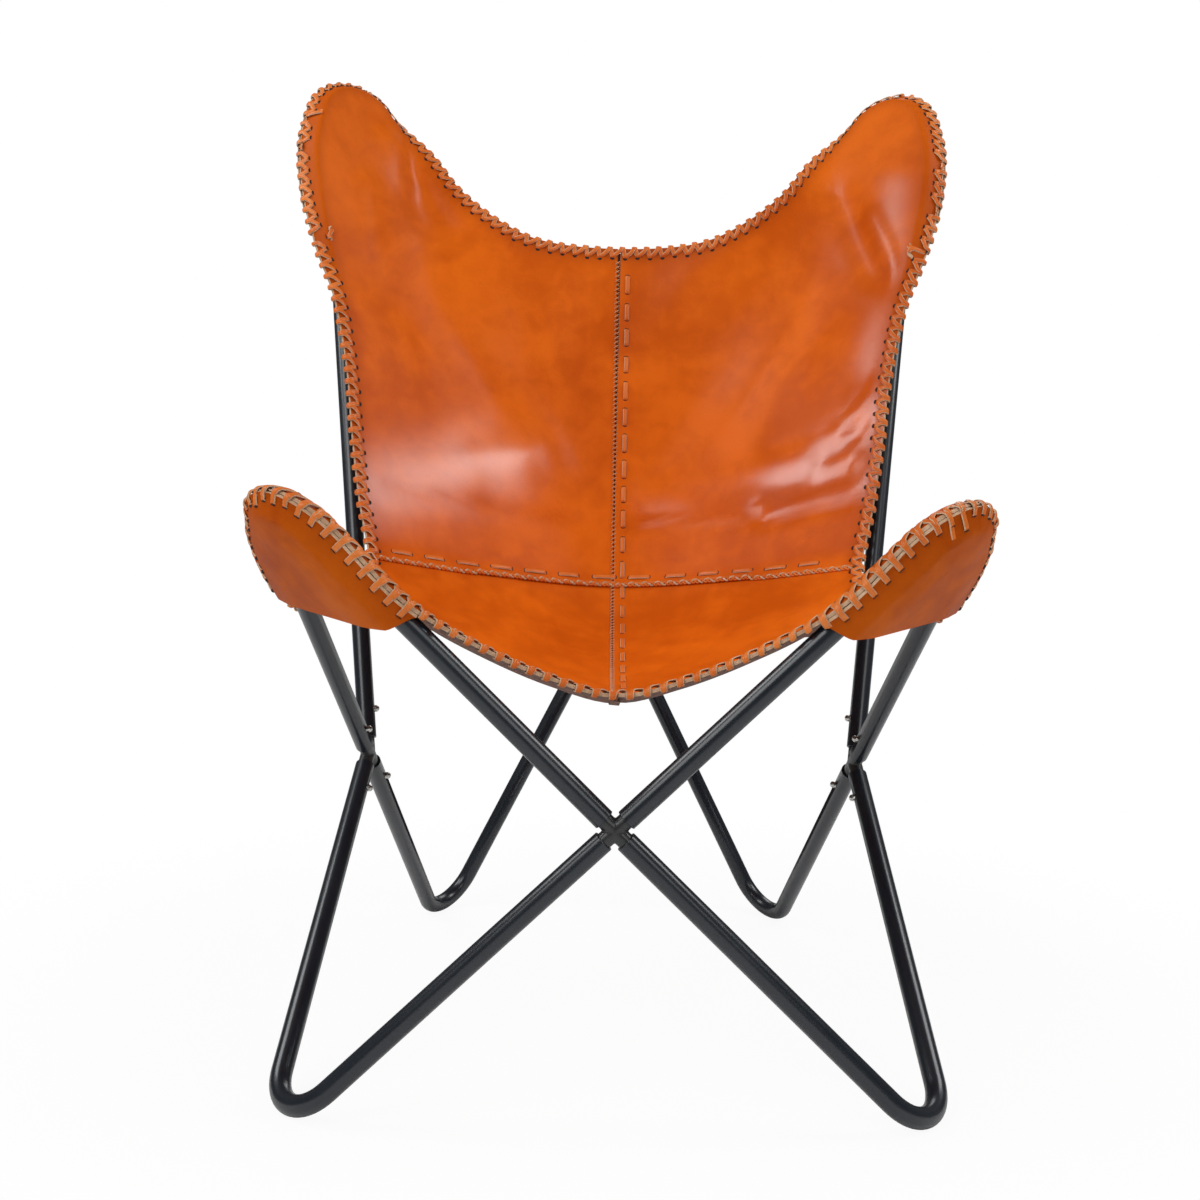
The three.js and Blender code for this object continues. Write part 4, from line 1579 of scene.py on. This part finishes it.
@dataclass
class Sling:
    """The four leather panels and the four pockets, with their lacing and seams."""

    shape: SlingShape
    panel_steps: int = 84
    pocket_along: int = 40
    pocket_across: int = 56
    seat_up: tuple = (0.0, -0.5, 0.85)
    back_up: tuple = (0.0, -1.0, 0.2)
    fold_inset: float = 8.0
    fold_ramp: float = 25.0
    sheet_margin: float = 1.02
    sheet_angle: float = 60.0
    burnish: float = 26.0
    rim_steps: int = 700
    pitch: float = 13.2
    hole_inset: float = 9.8
    back_hole_inset: float = 5.6
    thong_width: float = 5.0
    thong_thickness: float = 1.3
    thong_angle: float = 50.0
    thong_wear: float = 0.8
    thong_section: tuple = (
        (-1.0, -0.5), (-0.76, 0.8), (-0.4, 1.05), (0.0, 1.1), (0.4, 1.05), (0.76, 0.8), (1.0, -0.5),
        (0.6, -0.9), (-0.6, -0.9),
    )
    grain_faces: range = range(1, 5)
    lean_share: float = 0.16
    crossing_width: float = 0.86
    twist: float = 0.12
    come_from: float = 20.0
    look: float = 3.0
    trial: float = 8.0
    sitter: tuple = (0.0, 0.0, 500.0)
    # The slot sizes are those of the patches of painted shade in the slot mouths.
    slot_sides: int = 12
    slot_depth: float = 0.5
    slot_proud: float = 0.12
    seam_samples: int = 900
    seam_passes: int = 6
    run_section: tuple = (
        (-1.08, -0.9), (-0.94, 0.7), (-0.6, 1.15), (0.0, 1.3), (0.6, 1.15), (0.94, 0.7), (1.08, -0.9),
    )
    run_start: float = 16.0
    run_ends: float = 20.0
    run_width: float = 0.92
    run_slot: float = 1.06
    backing_stations: int = 80
    backing_half: float = 4.0
    backing_thickness: float = 0.7
    backing_gap: float = 0.5
    stitch_period: float = 4.8
    stitch_reach: float = 2.3
    stitch_lean: float = 1.5
    stitch_radius: float = 0.52
    strand_sides: int = 7
    strand_wear: float = 0.75
    strand_angle: float = 60.0
    braid_wave: float = 14.0
    braid_steps: int = 12
    braid_end: float = 6.0
    braid_radius: float = 1.15
    braid_half: float = 2.2

    def build(self) -> None:
        """Makes the leather, then everything that is laced or sewn on it."""
        tops: list[Array] = []
        backs: list[Array] = []
        for side in Side:
            for part in Part:
                near, far = self._panel(side, part)
                tops.append(near)
                backs += [far, self._pocket(side, part)]
        self.skins = {Face.NEAR: Skin(tops, self.come_from), Face.FAR: Skin(backs, self.come_from)}
        self._edge_lacing()
        self._seam_lacing()
        self._seam_backing()
        self._seam_stitches()
        self._seam_braid()

    def _sheet(
        self, name: str, node: str, grid: Array, thickness: float, up: Array, skin: Finish, wear: Array,
        shine: Array
    ) -> tuple[Array, Array]:
        """Makes a leather sheet of even thickness about a grid.

        Args:
            name: The piece's name.
            node: The solid that it stands for.
            grid: Its middle surface.
            thickness: Its thickness.
            up: A direction on the near face's side.
            skin: The finish of the near face.
            wear: 0 to 1 for each point.
            shine: 0 to 1 for each point.

        Returns:
            The near face's grid and the far face's.
        """
        offset = facing(grid, up) * thickness / 2
        near, far = grid + offset, grid - offset
        rows, columns = grid.shape[:2]
        quads = grid_faces(rows, columns)
        draft = MeshDraft([skin, Finish.FLESH, Finish.RAW])
        draft.add(near.reshape(-1, 3), quads, skin, wear.ravel(), shine.ravel())
        first = draft.add(far.reshape(-1, 3), [quad[::-1] for quad in quads], Finish.FLESH, wear.ravel())
        rim = [i * columns for i in range(rows)]
        rim += [(rows - 1) * columns + j for j in range(1, columns)]
        rim += [i * columns + columns - 1 for i in range(rows - 2, -1, -1)]
        rim += list(range(columns - 2, 0, -1))
        draft.more_faces([(a, b, b + first, a + first) for a, b in zip(rim, rim[1:] + rim[:1])], Finish.RAW)
        piece = draft.build(name, self.sheet_angle)
        length = run_length(grid[:, columns // 2]) * MM
        width = run_length(grid[rows // 2]) * MM
        twice = np.cross(grid[1:, 1:] - grid[:-1, :-1], grid[:-1, 1:] - grid[1:, :-1])
        settle(piece, BODY, node)
        return near, far

    def _panel(self, side: Side, part: Part) -> tuple[Array, Array]:
        """Makes one panel.

        Args:
            side: The side of the chair.
            part: The seat or the back.

        Returns:
            The near face's grid and the far face's.
        """
        shape = self.shape
        grid, inset = shape.quarter(part, self.panel_steps)
        grid = side.place(grid)
        up = np.array(self.seat_up if part is Part.SEAT else self.back_up)
        raised, shine = np.zeros(grid.shape[:2]), np.zeros(grid.shape[:2])
        if part is Part.BACK:
            raised = sum((fold.raise_at(grid) for fold in shape.folds), raised)
            raised = raised * smooth((inset - self.fold_inset) / self.fold_ramp)
            shine = sum((mark.raise_at(grid) for mark in shape.shines), shine)
        if side is Side.RIGHT:
            raised = raised + shape.overlap(np.abs(grid[..., 0]))
        if part is Part.BACK:
            raised = raised + shape.overlap(np.linalg.norm(grid - grid[:, -1:], axis=2))
        grid = shape.plan.moved(grid + facing(grid, up) * raised[..., None])
        end = f"{part.word}_{side.word}"
        wear = smooth(inset / self.burnish)
        return self._sheet(
            f"leather_{end}", f"panel_{end}", grid, shape.thickness, up, Finish.GRAIN, wear, shine
        )

    def _pocket(self, side: Side, part: Part) -> Array:
        """Makes one pocket.

        Args:
            side: The side of the chair.
            part: The seat for the front pocket, the back for the rear one.

        Returns:
            Its outer face's grid.
        """
        shape = self.shape
        grid, inset = shape.pocket(part, self.pocket_along, self.pocket_across)
        up = side.place(-shape.horns[part].inner)
        end = f"pocket_{part.value}_{side.word}"
        grid, wear = shape.plan.moved(side.place(grid)), smooth(inset / self.burnish)
        # The pocket uses the darker leather copy, with painted shade.
        return self._sheet(
            f"leather_{end}", end, grid, shape.pocket_thickness, up, Finish.POCKET, wear, np.zeros_like(wear)
        )[0]

    def _rim(self) -> Rim:
        """The sling's whole edge."""
        shares = np.linspace(0, 1, self.rim_steps)[:-1]
        shape = self.shape
        return Rim(shape.plan.moved(np.vstack([
            shape.front_line.at(shares),
            flip(shape.side_line.at(shares)),
            shape.top_line.at(1 - shares),
            shape.side_line.at(1 - shares),
        ])))

    def _miss(self, point: Array) -> float:
        """How far a point lies from the near face."""
        return float(np.linalg.norm(self.skins[Face.NEAR].nearest(point)[0] - point))

    def _spot(self, rim: Rim, s: float) -> EdgeSpot:
        """A place on the edge.

        Args:
            rim: The edge.
            s: The distance along it.

        Returns:
            The spot, with its directions.
        """
        here = rim.at(s)
        tangent = unit(rim.at(s + self.look) - rim.at(s - self.look))
        normal = self.skins[Face.NEAR].nearest(here)[1]
        if normal @ (np.array(self.sitter) - here) < 0:
            normal = -normal
        inward = unit(np.cross(normal, tangent))
        if self._miss(here + inward * self.trial) > self._miss(here - inward * self.trial):
            inward = -inward
        return EdgeSpot(rim, s, tangent, normal, inward, self.skins)

    def _over(self, spot: EdgeSpot, depth: float, behind: float, lean: float) -> list[Array]:
        """The thong that goes over the edge, from its hole to the one behind.

        Args:
            spot: The place on the edge.
            depth: The inset of the hole in front.
            behind: The inset of the hole behind.
            lean: How far the hole behind is along the edge.

        Returns:
            Points along the thong.
        """
        half = self.thong_thickness / 2
        return [
            spot.on(Face.NEAR, 0, depth, -half),
            spot.on(Face.NEAR, 0, depth * 0.84, half + 0.35),
            spot.on(Face.NEAR, lean * 0.5, depth * 0.5, half + 0.3),
            spot.on(Face.NEAR, lean, 0.8, half + 0.4),
            spot.past(lean, 1.2 + half, 0.6),
            spot.past(lean, 1.2 + half, -2.6),
            spot.on(Face.FAR, lean, 0.8, half + 0.4),
            spot.on(Face.FAR, lean, behind * 0.5, half + 0.3),
            spot.on(Face.FAR, lean, behind * 0.8, half + 0.3),
            spot.on(Face.FAR, lean, behind, -half),
        ]

    def _crossing(self, spot: EdgeSpot, depth: float, span: float) -> list[Array]:
        """The thong that crosses to the next place on the near side and ends behind the edge.

        Args:
            spot: The place on the edge.
            depth: The inset of the hole in front.
            span: The distance between two places.

        Returns:
            Points along the thong.
        """
        half = self.thong_thickness / 2
        return [
            spot.on(Face.NEAR, 0, depth, -half),
            spot.on(Face.NEAR, -span * 0.15, depth * 0.82, half + 0.5),
            spot.on(Face.NEAR, -span * 0.45, depth * 0.5, half + 1.5),
            spot.on(Face.NEAR, -span * 0.66, 1.2, half + 1.4),
            spot.past(-span * 0.72, 1.4 + half, 0.8),
            spot.past(-span * 0.78, 1.2 + half, -2.2),
            spot.on(Face.FAR, -span * 0.82, 2.0, -0.2),
        ]

    def _edge_lacing(self) -> None:
        """Whip lacing round the whole edge: a thong over it at each hole, and a crossing one in front."""
        rim = self._rim()
        count = int(round(rim.total / self.pitch))
        span = rim.total / count
        lean = span * self.lean_share
        draft = MeshDraft([Finish.THONG, Finish.RAW])
        slots = MeshDraft([Finish.SLOT])
        rng = np.random.default_rng(7)
        for k in range(count):
            spot = self._spot(rim, k * span)
            depth = self.hole_inset + rng.uniform(-0.5, 0.5)
            behind = self.back_hole_inset + rng.uniform(-0.4, 0.4)
            depth, behind = spot.hole(Face.NEAR, depth), spot.hole(Face.FAR, behind)
            for path, width in (
                (self._over(spot, depth, behind, lean), self.thong_width),
                (self._crossing(spot, depth, span), self.thong_width * self.crossing_width),
            ):
                self._ribbon(draft, path, spot.tangent, width, rng.uniform(-self.twist, self.twist))
            # Each hole's mouth gets a patch of painted shade.
            for face, offset, inset in ((Face.NEAR, 0.0, depth), (Face.FAR, lean, behind)):
                end = spot.on(face, offset, inset, self.slot_proud)
                before = spot.on(face, offset, inset * 0.7, self.slot_proud)
                middle = end + unit(end - before) * 0.9
                self._slot(slots, middle, spot.normal * face.value, spot.tangent, 2.4, 1.8)
        trim(draft.build("edge_thongs", self.thong_angle))
        trim(slots.build("edge_slot_shade"))

    def _ribbon(
        self, draft: MeshDraft, path: Sequence[Array], width_way: Array, width: float, twist: float
    ) -> None:
        """Adds one flat thong to a draft, grain side out and flesh side in.

        Args:
            draft: The draft to add to.
            path: Points along its middle.
            width_way: Roughly the direction of its width.
            width: Its width.
            twist: A small turn about its length, in radians.
        """
        points = Line(path).at(np.linspace(0, 1, 3 * len(path) - 2))
        ways = unit(np.gradient(points, axis=0))
        across = unit(width_way - ways * (ways @ width_way)[:, None])
        up = np.cross(ways, across)
        if float(np.sum((points - points.mean(axis=0)) * up)) < 0:
            up = -up
        half, thick = width / 2, self.thong_thickness / 2
        turned = across * math.cos(twist) + up * math.sin(twist)
        raised = up * math.cos(twist) - across * math.sin(twist)
        section = [points + turned * x * half + raised * y * thick for x, y in self.thong_section]
        rings = np.stack(section, axis=1)
        rows, columns = rings.shape[:2]
        quads = grid_faces(rows, columns, True)
        grain = [face for i, face in enumerate(quads) if i % columns in self.grain_faces]
        flesh = [face for i, face in enumerate(quads) if i % columns not in self.grain_faces]
        flesh += [tuple(range(columns)), tuple(range(rows * columns - 1, (rows - 1) * columns - 1, -1))]
        wear = np.full(rows * columns, self.thong_wear)
        first = draft.add(rings.reshape(-1, 3), grain, Finish.THONG, wear)
        draft.more_faces([tuple(i + first for i in face) for face in flesh], Finish.RAW)

    def _slot(
        self, draft: MeshDraft, at: Array, normal: Array, along: Array, half_long: float, half_wide: float
    ) -> None:
        """Adds a near-black patch of painted shade in the mouth of a slot.

        Args:
            draft: The draft to add to.
            at: Its middle.
            normal: The surface's normal.
            along: The direction of its length.
            half_long: Half its length.
            half_wide: Half its width.
        """
        x = unit(along - normal * (along @ normal))
        y = np.cross(normal, x)
        sides = self.slot_sides
        turns = np.linspace(0, 2 * math.pi, sides, endpoint=False)
        top = [at + x * half_long * math.cos(t) + y * half_wide * math.sin(t) for t in turns]
        low = [point - normal * self.slot_depth for point in top]
        faces = [tuple(range(sides)), tuple(range(2 * sides - 1, sides - 1, -1))]
        faces += [(i, i + sides, (i + 1) % sides + sides, (i + 1) % sides) for i in range(sides)]
        draft.add(np.array(top + low), faces, Finish.SLOT)

    def _seam(self, line: Line, shift: Sequence[float] = (0.0, 0.0, 0.0)) -> Seam:
        """A seam's line laid on the near face and smoothed.

        Args:
            line: The seam.
            shift: How far the line is moved before it is laid.

        Returns:
            The laid seam.
        """
        raw = self.shape.plan.moved(line.at(np.linspace(0.004, 0.996, self.seam_samples))) + np.array(shift)
        near = np.array([0.0, -1.0, 1.5])
        laid = [self.skins[Face.NEAR].nearest(point + near) for point in raw]
        points = np.array([place for place, _ in laid])
        normals = np.array([normal for _, normal in laid])
        towards = np.array([0.0, -0.6, 0.8])
        normals[normals @ towards < 0] *= -1
        for _ in range(self.seam_passes):
            points[1:-1] = (points[:-2] + 2 * points[1:-1] + points[2:]) / 4
            normals[1:-1] = unit(normals[:-2] + 2 * normals[1:-1] + normals[2:])
        return Seam(points, normals)

    def _seam_lacing(self) -> None:
        """Running lace beside the centre seam and above the cross seam."""
        draft = MeshDraft([Finish.THONG, Finish.RAW])
        slots = MeshDraft([Finish.SLOT])
        rng = np.random.default_rng(11)
        for run in (
            LaceRun(self.shape.centre_line, (9.5, 0.0, 0.0), 28.5, 17.0),
            LaceRun(self.shape.cross_line, (0.0, 5.0, 9.0), 38.0, 21.5),
        ):
            seam = self._seam(run.line, run.shift)
            for k in range(int((seam.reach[-1] - self.run_ends) / run.period)):
                middle = self.run_start + (k + 0.5) * run.period + rng.uniform(-1.0, 1.0)
                half = run.length / 2 + rng.uniform(-0.7, 0.7)
                path = [seam.at(middle + share * half, proud) for share, proud in self.run_section]
                up = unit(seam.up(middle))
                width_way = np.cross(up, seam.way(middle))
                width = self.thong_width * self.run_width
                self._ribbon(draft, path, width_way, width, rng.uniform(-0.05, 0.05))
                # Each slot's mouth gets a patch of painted shade.
                for share in (-self.run_slot, self.run_slot):
                    mouth = seam.at(middle + share * half, self.slot_proud)
                    self._slot(slots, mouth, up, width_way, 2.5, 1.3)
        trim(draft.build("seam_thongs", self.thong_angle))
        trim(slots.build("seam_slots"))

    def _strand(self, draft: MeshDraft, points: Array, radius: float, finish: Finish) -> None:
        """Adds a thin round strand to a draft.

        Args:
            draft: The draft to add to.
            points: Points along its middle.
            radius: Its radius.
            finish: Its finish.
        """
        sides = self.strand_sides
        askew = np.array([0.21, 0.44, 0.87])
        ways = unit(np.gradient(points, axis=0))
        rings = np.vstack([ring(p, way, askew, radius, sides) for p, way in zip(points, ways)])
        faces = grid_faces(len(points), sides, True)
        faces += [tuple(range(sides)), tuple(range(len(rings) - 1, len(rings) - 1 - sides, -1))]
        draft.add(rings, faces, finish, np.full(len(rings), self.strand_wear))

    def _seam_backing(self) -> None:
        """A strip of leather under each seam, which closes the gap between the panels."""
        draft = MeshDraft([Finish.FLESH])
        half, low = self.backing_half, -self.shape.thickness - self.shape.seam_step - self.backing_gap
        high = low + self.backing_thickness
        corners = ((-half, low), (-half, high), (half, high), (half, low))
        for line, first, last in ((self.shape.centre_line, 24, 897), (self.shape.cross_line, 10, 889)):
            seam = self._seam(line)
            picks = np.linspace(first, last, self.backing_stations).astype(int)
            strip = Seam(seam.points[picks], seam.normals[picks])
            across = strip.across
            rings = np.stack([strip.points + across * x + strip.normals * y for x, y in corners], axis=1)
            end = 4 * len(picks) - 1
            faces = grid_faces(len(picks), 4, True) + [(0, 1, 2, 3), (end, end - 1, end - 2, end - 3)]
            draft.add(rings.reshape(-1, 3), faces, Finish.FLESH)
        trim(draft.build("seam_backing"))

    def _seam_stitches(self) -> None:
        """The fine slanted stitches of the centre seam."""
        seam = self._seam(self.shape.centre_line)
        draft = MeshDraft([Finish.THONG, Finish.RAW])
        rng = np.random.default_rng(5)
        for middle in np.arange(14.0, seam.reach[-1] - 10.0, self.stitch_period):
            up = seam.up(middle)
            across = np.cross(up, seam.way(middle))
            for lean, finish in ((self.stitch_lean, Finish.THONG), (-self.stitch_lean, Finish.RAW)):
                reach = self.stitch_reach + rng.uniform(-0.25, 0.25)
                path = [
                    seam.at(middle + lean * share) + across * share * reach + up * (1.35 - 0.9 * share**2)
                    for share in np.linspace(-1, 1, 5)
                ]
                self._strand(draft, np.array(path), self.stitch_radius, finish)
        trim(draft.build("seam_stitches", self.strand_angle))

    def _seam_braid(self) -> None:
        """The chain braid of the cross seam."""
        seam = self._seam(self.shape.cross_line)
        s = np.arange(self.braid_end, seam.reach[-1] - self.braid_end, self.braid_wave / self.braid_steps)
        base, side, up = seam.at(s), sample(s, seam.reach, seam.across), seam.up(s)
        draft = MeshDraft([Finish.THONG, Finish.RAW])
        for third, finish in enumerate((Finish.THONG, Finish.RAW, Finish.THONG)):
            turn = 2 * math.pi * (s / self.braid_wave + third / 3)
            lift = 1.25 + 0.7 * np.sin(2 * turn + 0.6)
            path = base + side * (self.braid_half * np.sin(turn))[:, None] + up * lift[:, None]
            self._strand(draft, path, self.braid_radius, finish)
        trim(draft.build("seam_braid", self.strand_angle))


@dataclass(frozen=True)
class Lamp:
    """A soft lamp, with its place, target and width in metres and its power in watts."""

    name: str
    at: tuple[float, float, float]
    target: tuple[float, float, float]
    size: float
    power: float
    tall: float = 1.3

    def build(self) -> None:
        """Adds the lamp to the scene."""
        data = bpy.data.lights.new(self.name, "AREA")
        data.shape = "RECTANGLE"
        data.size = self.size
        data.size_y = self.size * self.tall
        data.energy = self.power
        lamp = bpy.data.objects.new(self.name, data)
        lamp.location = self.at
        ahead = Vector(self.target) - Vector(self.at)
        lamp.rotation_euler = ahead.to_track_quat("-Z", "Y").to_euler()
        bpy.context.scene.collection.objects.link(lamp)


@dataclass
class Studio:
    """A plain pale floor, soft lights and the camera at the photograph's angle."""

    camera_at: tuple[float, ...] = (-18.0, -1421.0, 496.0)
    pitch: float = -5.0
    yaw: float = 0.17
    roll: float = 1.2
    lens: float = 46.8
    sensor: float = 36.0
    floor_reach: float = 30.0
    floor_tone: float = 0.86
    floor_seen: float = 0.93
    light_level: float = 0.32
    glossy_level: float = 0.10
    lamps: tuple[Lamp, ...] = (
        Lamp("key_light", (-1.6, -2.0, 2.3), (0.0, 0.1, 0.55), 1.4, 30.0),
        Lamp("front_light", (1.3, -2.4, 1.7), (0.0, 0.0, 0.35), 1.2, 13.0),
        Lamp("right_light", (1.56, -0.10, 1.80), (-0.19, 0.13, 0.48), 0.8, 14.5),
        Lamp("left_light", (-1.54, -0.10, 1.84), (0.2, 0.13, 0.48), 0.8, 14.5),
        Lamp("back_light", (0.6, 2.4, 1.9), (0.0, 0.0, 0.5), 1.2, 12.0),
    )

    def build(self, plan: ChairPlan) -> None:
        """Makes the floor, the lights, the world and the camera."""
        self._floor()
        self._world()
        for lamp in self.lamps:
            lamp.build()
        self._camera(plan)

    def _floor(self) -> None:
        """A wide pale floor that keeps the chair's shadow."""
        g = Graph(bpy.data.materials.new("pale_floor"))
        tone, reach = self.floor_tone, self.floor_reach
        plain = g.node("ShaderNodeBsdfDiffuse", None, {"Color": (tone, tone, tone, 1.0)})
        glow = g.node("ShaderNodeEmission", None, {"Color": WHITE, "Strength": 1.0})
        away = g.node("ShaderNodeVectorMath", {"operation": "LENGTH"}, {0: g.place()}, "Value")
        bright = self.floor_seen + away.ramp(0.35, 0.85) * (1 - self.floor_seen)
        mesh = bpy.data.meshes.new("floor")
        corners = [(-reach, -reach, 0), (reach, -reach, 0), (reach, reach, 0), (-reach, reach, 0)]
        mesh.from_pydata(corners, [], [(0, 1, 2, 3)])
        mesh.materials.append(g.close(g.blend(g.ray("Is Camera Ray") * bright, plain, glow)))
        floor = bpy.data.objects.new("floor", mesh)
        bpy.context.scene.collection.objects.link(floor)

    def _world(self) -> None:
        """White where it is seen, and a plain level of light elsewhere."""
        g = Graph(bpy.data.worlds.new("studio"))
        light, glossy, seen = (
            g.node("ShaderNodeBackground", None, {"Color": WHITE, "Strength": level})
            for level in (self.light_level, self.glossy_level, 1.0)
        )
        around = g.blend(g.ray("Is Glossy Ray"), light, glossy)
        bpy.context.scene.world = g.close(g.blend(g.ray("Is Camera Ray"), around, seen))

    def _camera(self, plan: ChairPlan) -> None:
        """Places the camera.

        Args:
            plan: The chair's plan, in which the camera's place is given.
        """
        pitch, yaw, roll = (math.radians(angle) for angle in (self.pitch, self.yaw, self.roll))
        ahead = Vector((math.sin(yaw) * math.cos(pitch), math.cos(yaw) * math.cos(pitch), math.sin(pitch)))
        level = Vector((math.cos(yaw), -math.sin(yaw), 0.0))
        upright = level.cross(ahead)
        right = level * math.cos(roll) + upright * math.sin(roll)
        up = upright * math.cos(roll) - level * math.sin(roll)
        data = bpy.data.cameras.new("camera")
        data.lens = self.lens
        data.sensor_width = self.sensor
        camera = bpy.data.objects.new("camera", data)
        at = Vector(plan.moved(np.array(self.camera_at)) * MM)
        camera.matrix_world = Matrix.Translation(at) @ Matrix((right, up, -ahead)).transposed().to_4x4()
        bpy.context.scene.collection.objects.link(camera)
        bpy.context.scene.camera = camera
        bpy.context.scene.view_settings.view_transform = "Standard"


def main() -> None:
    """Builds the chair's pieces in order."""
    plan = ChairPlan()
    Studio().build(plan)
    TubeFrame(plan).build()
    Sling(SlingShape(plan)).build()


if __name__ == "__main__":
    main()
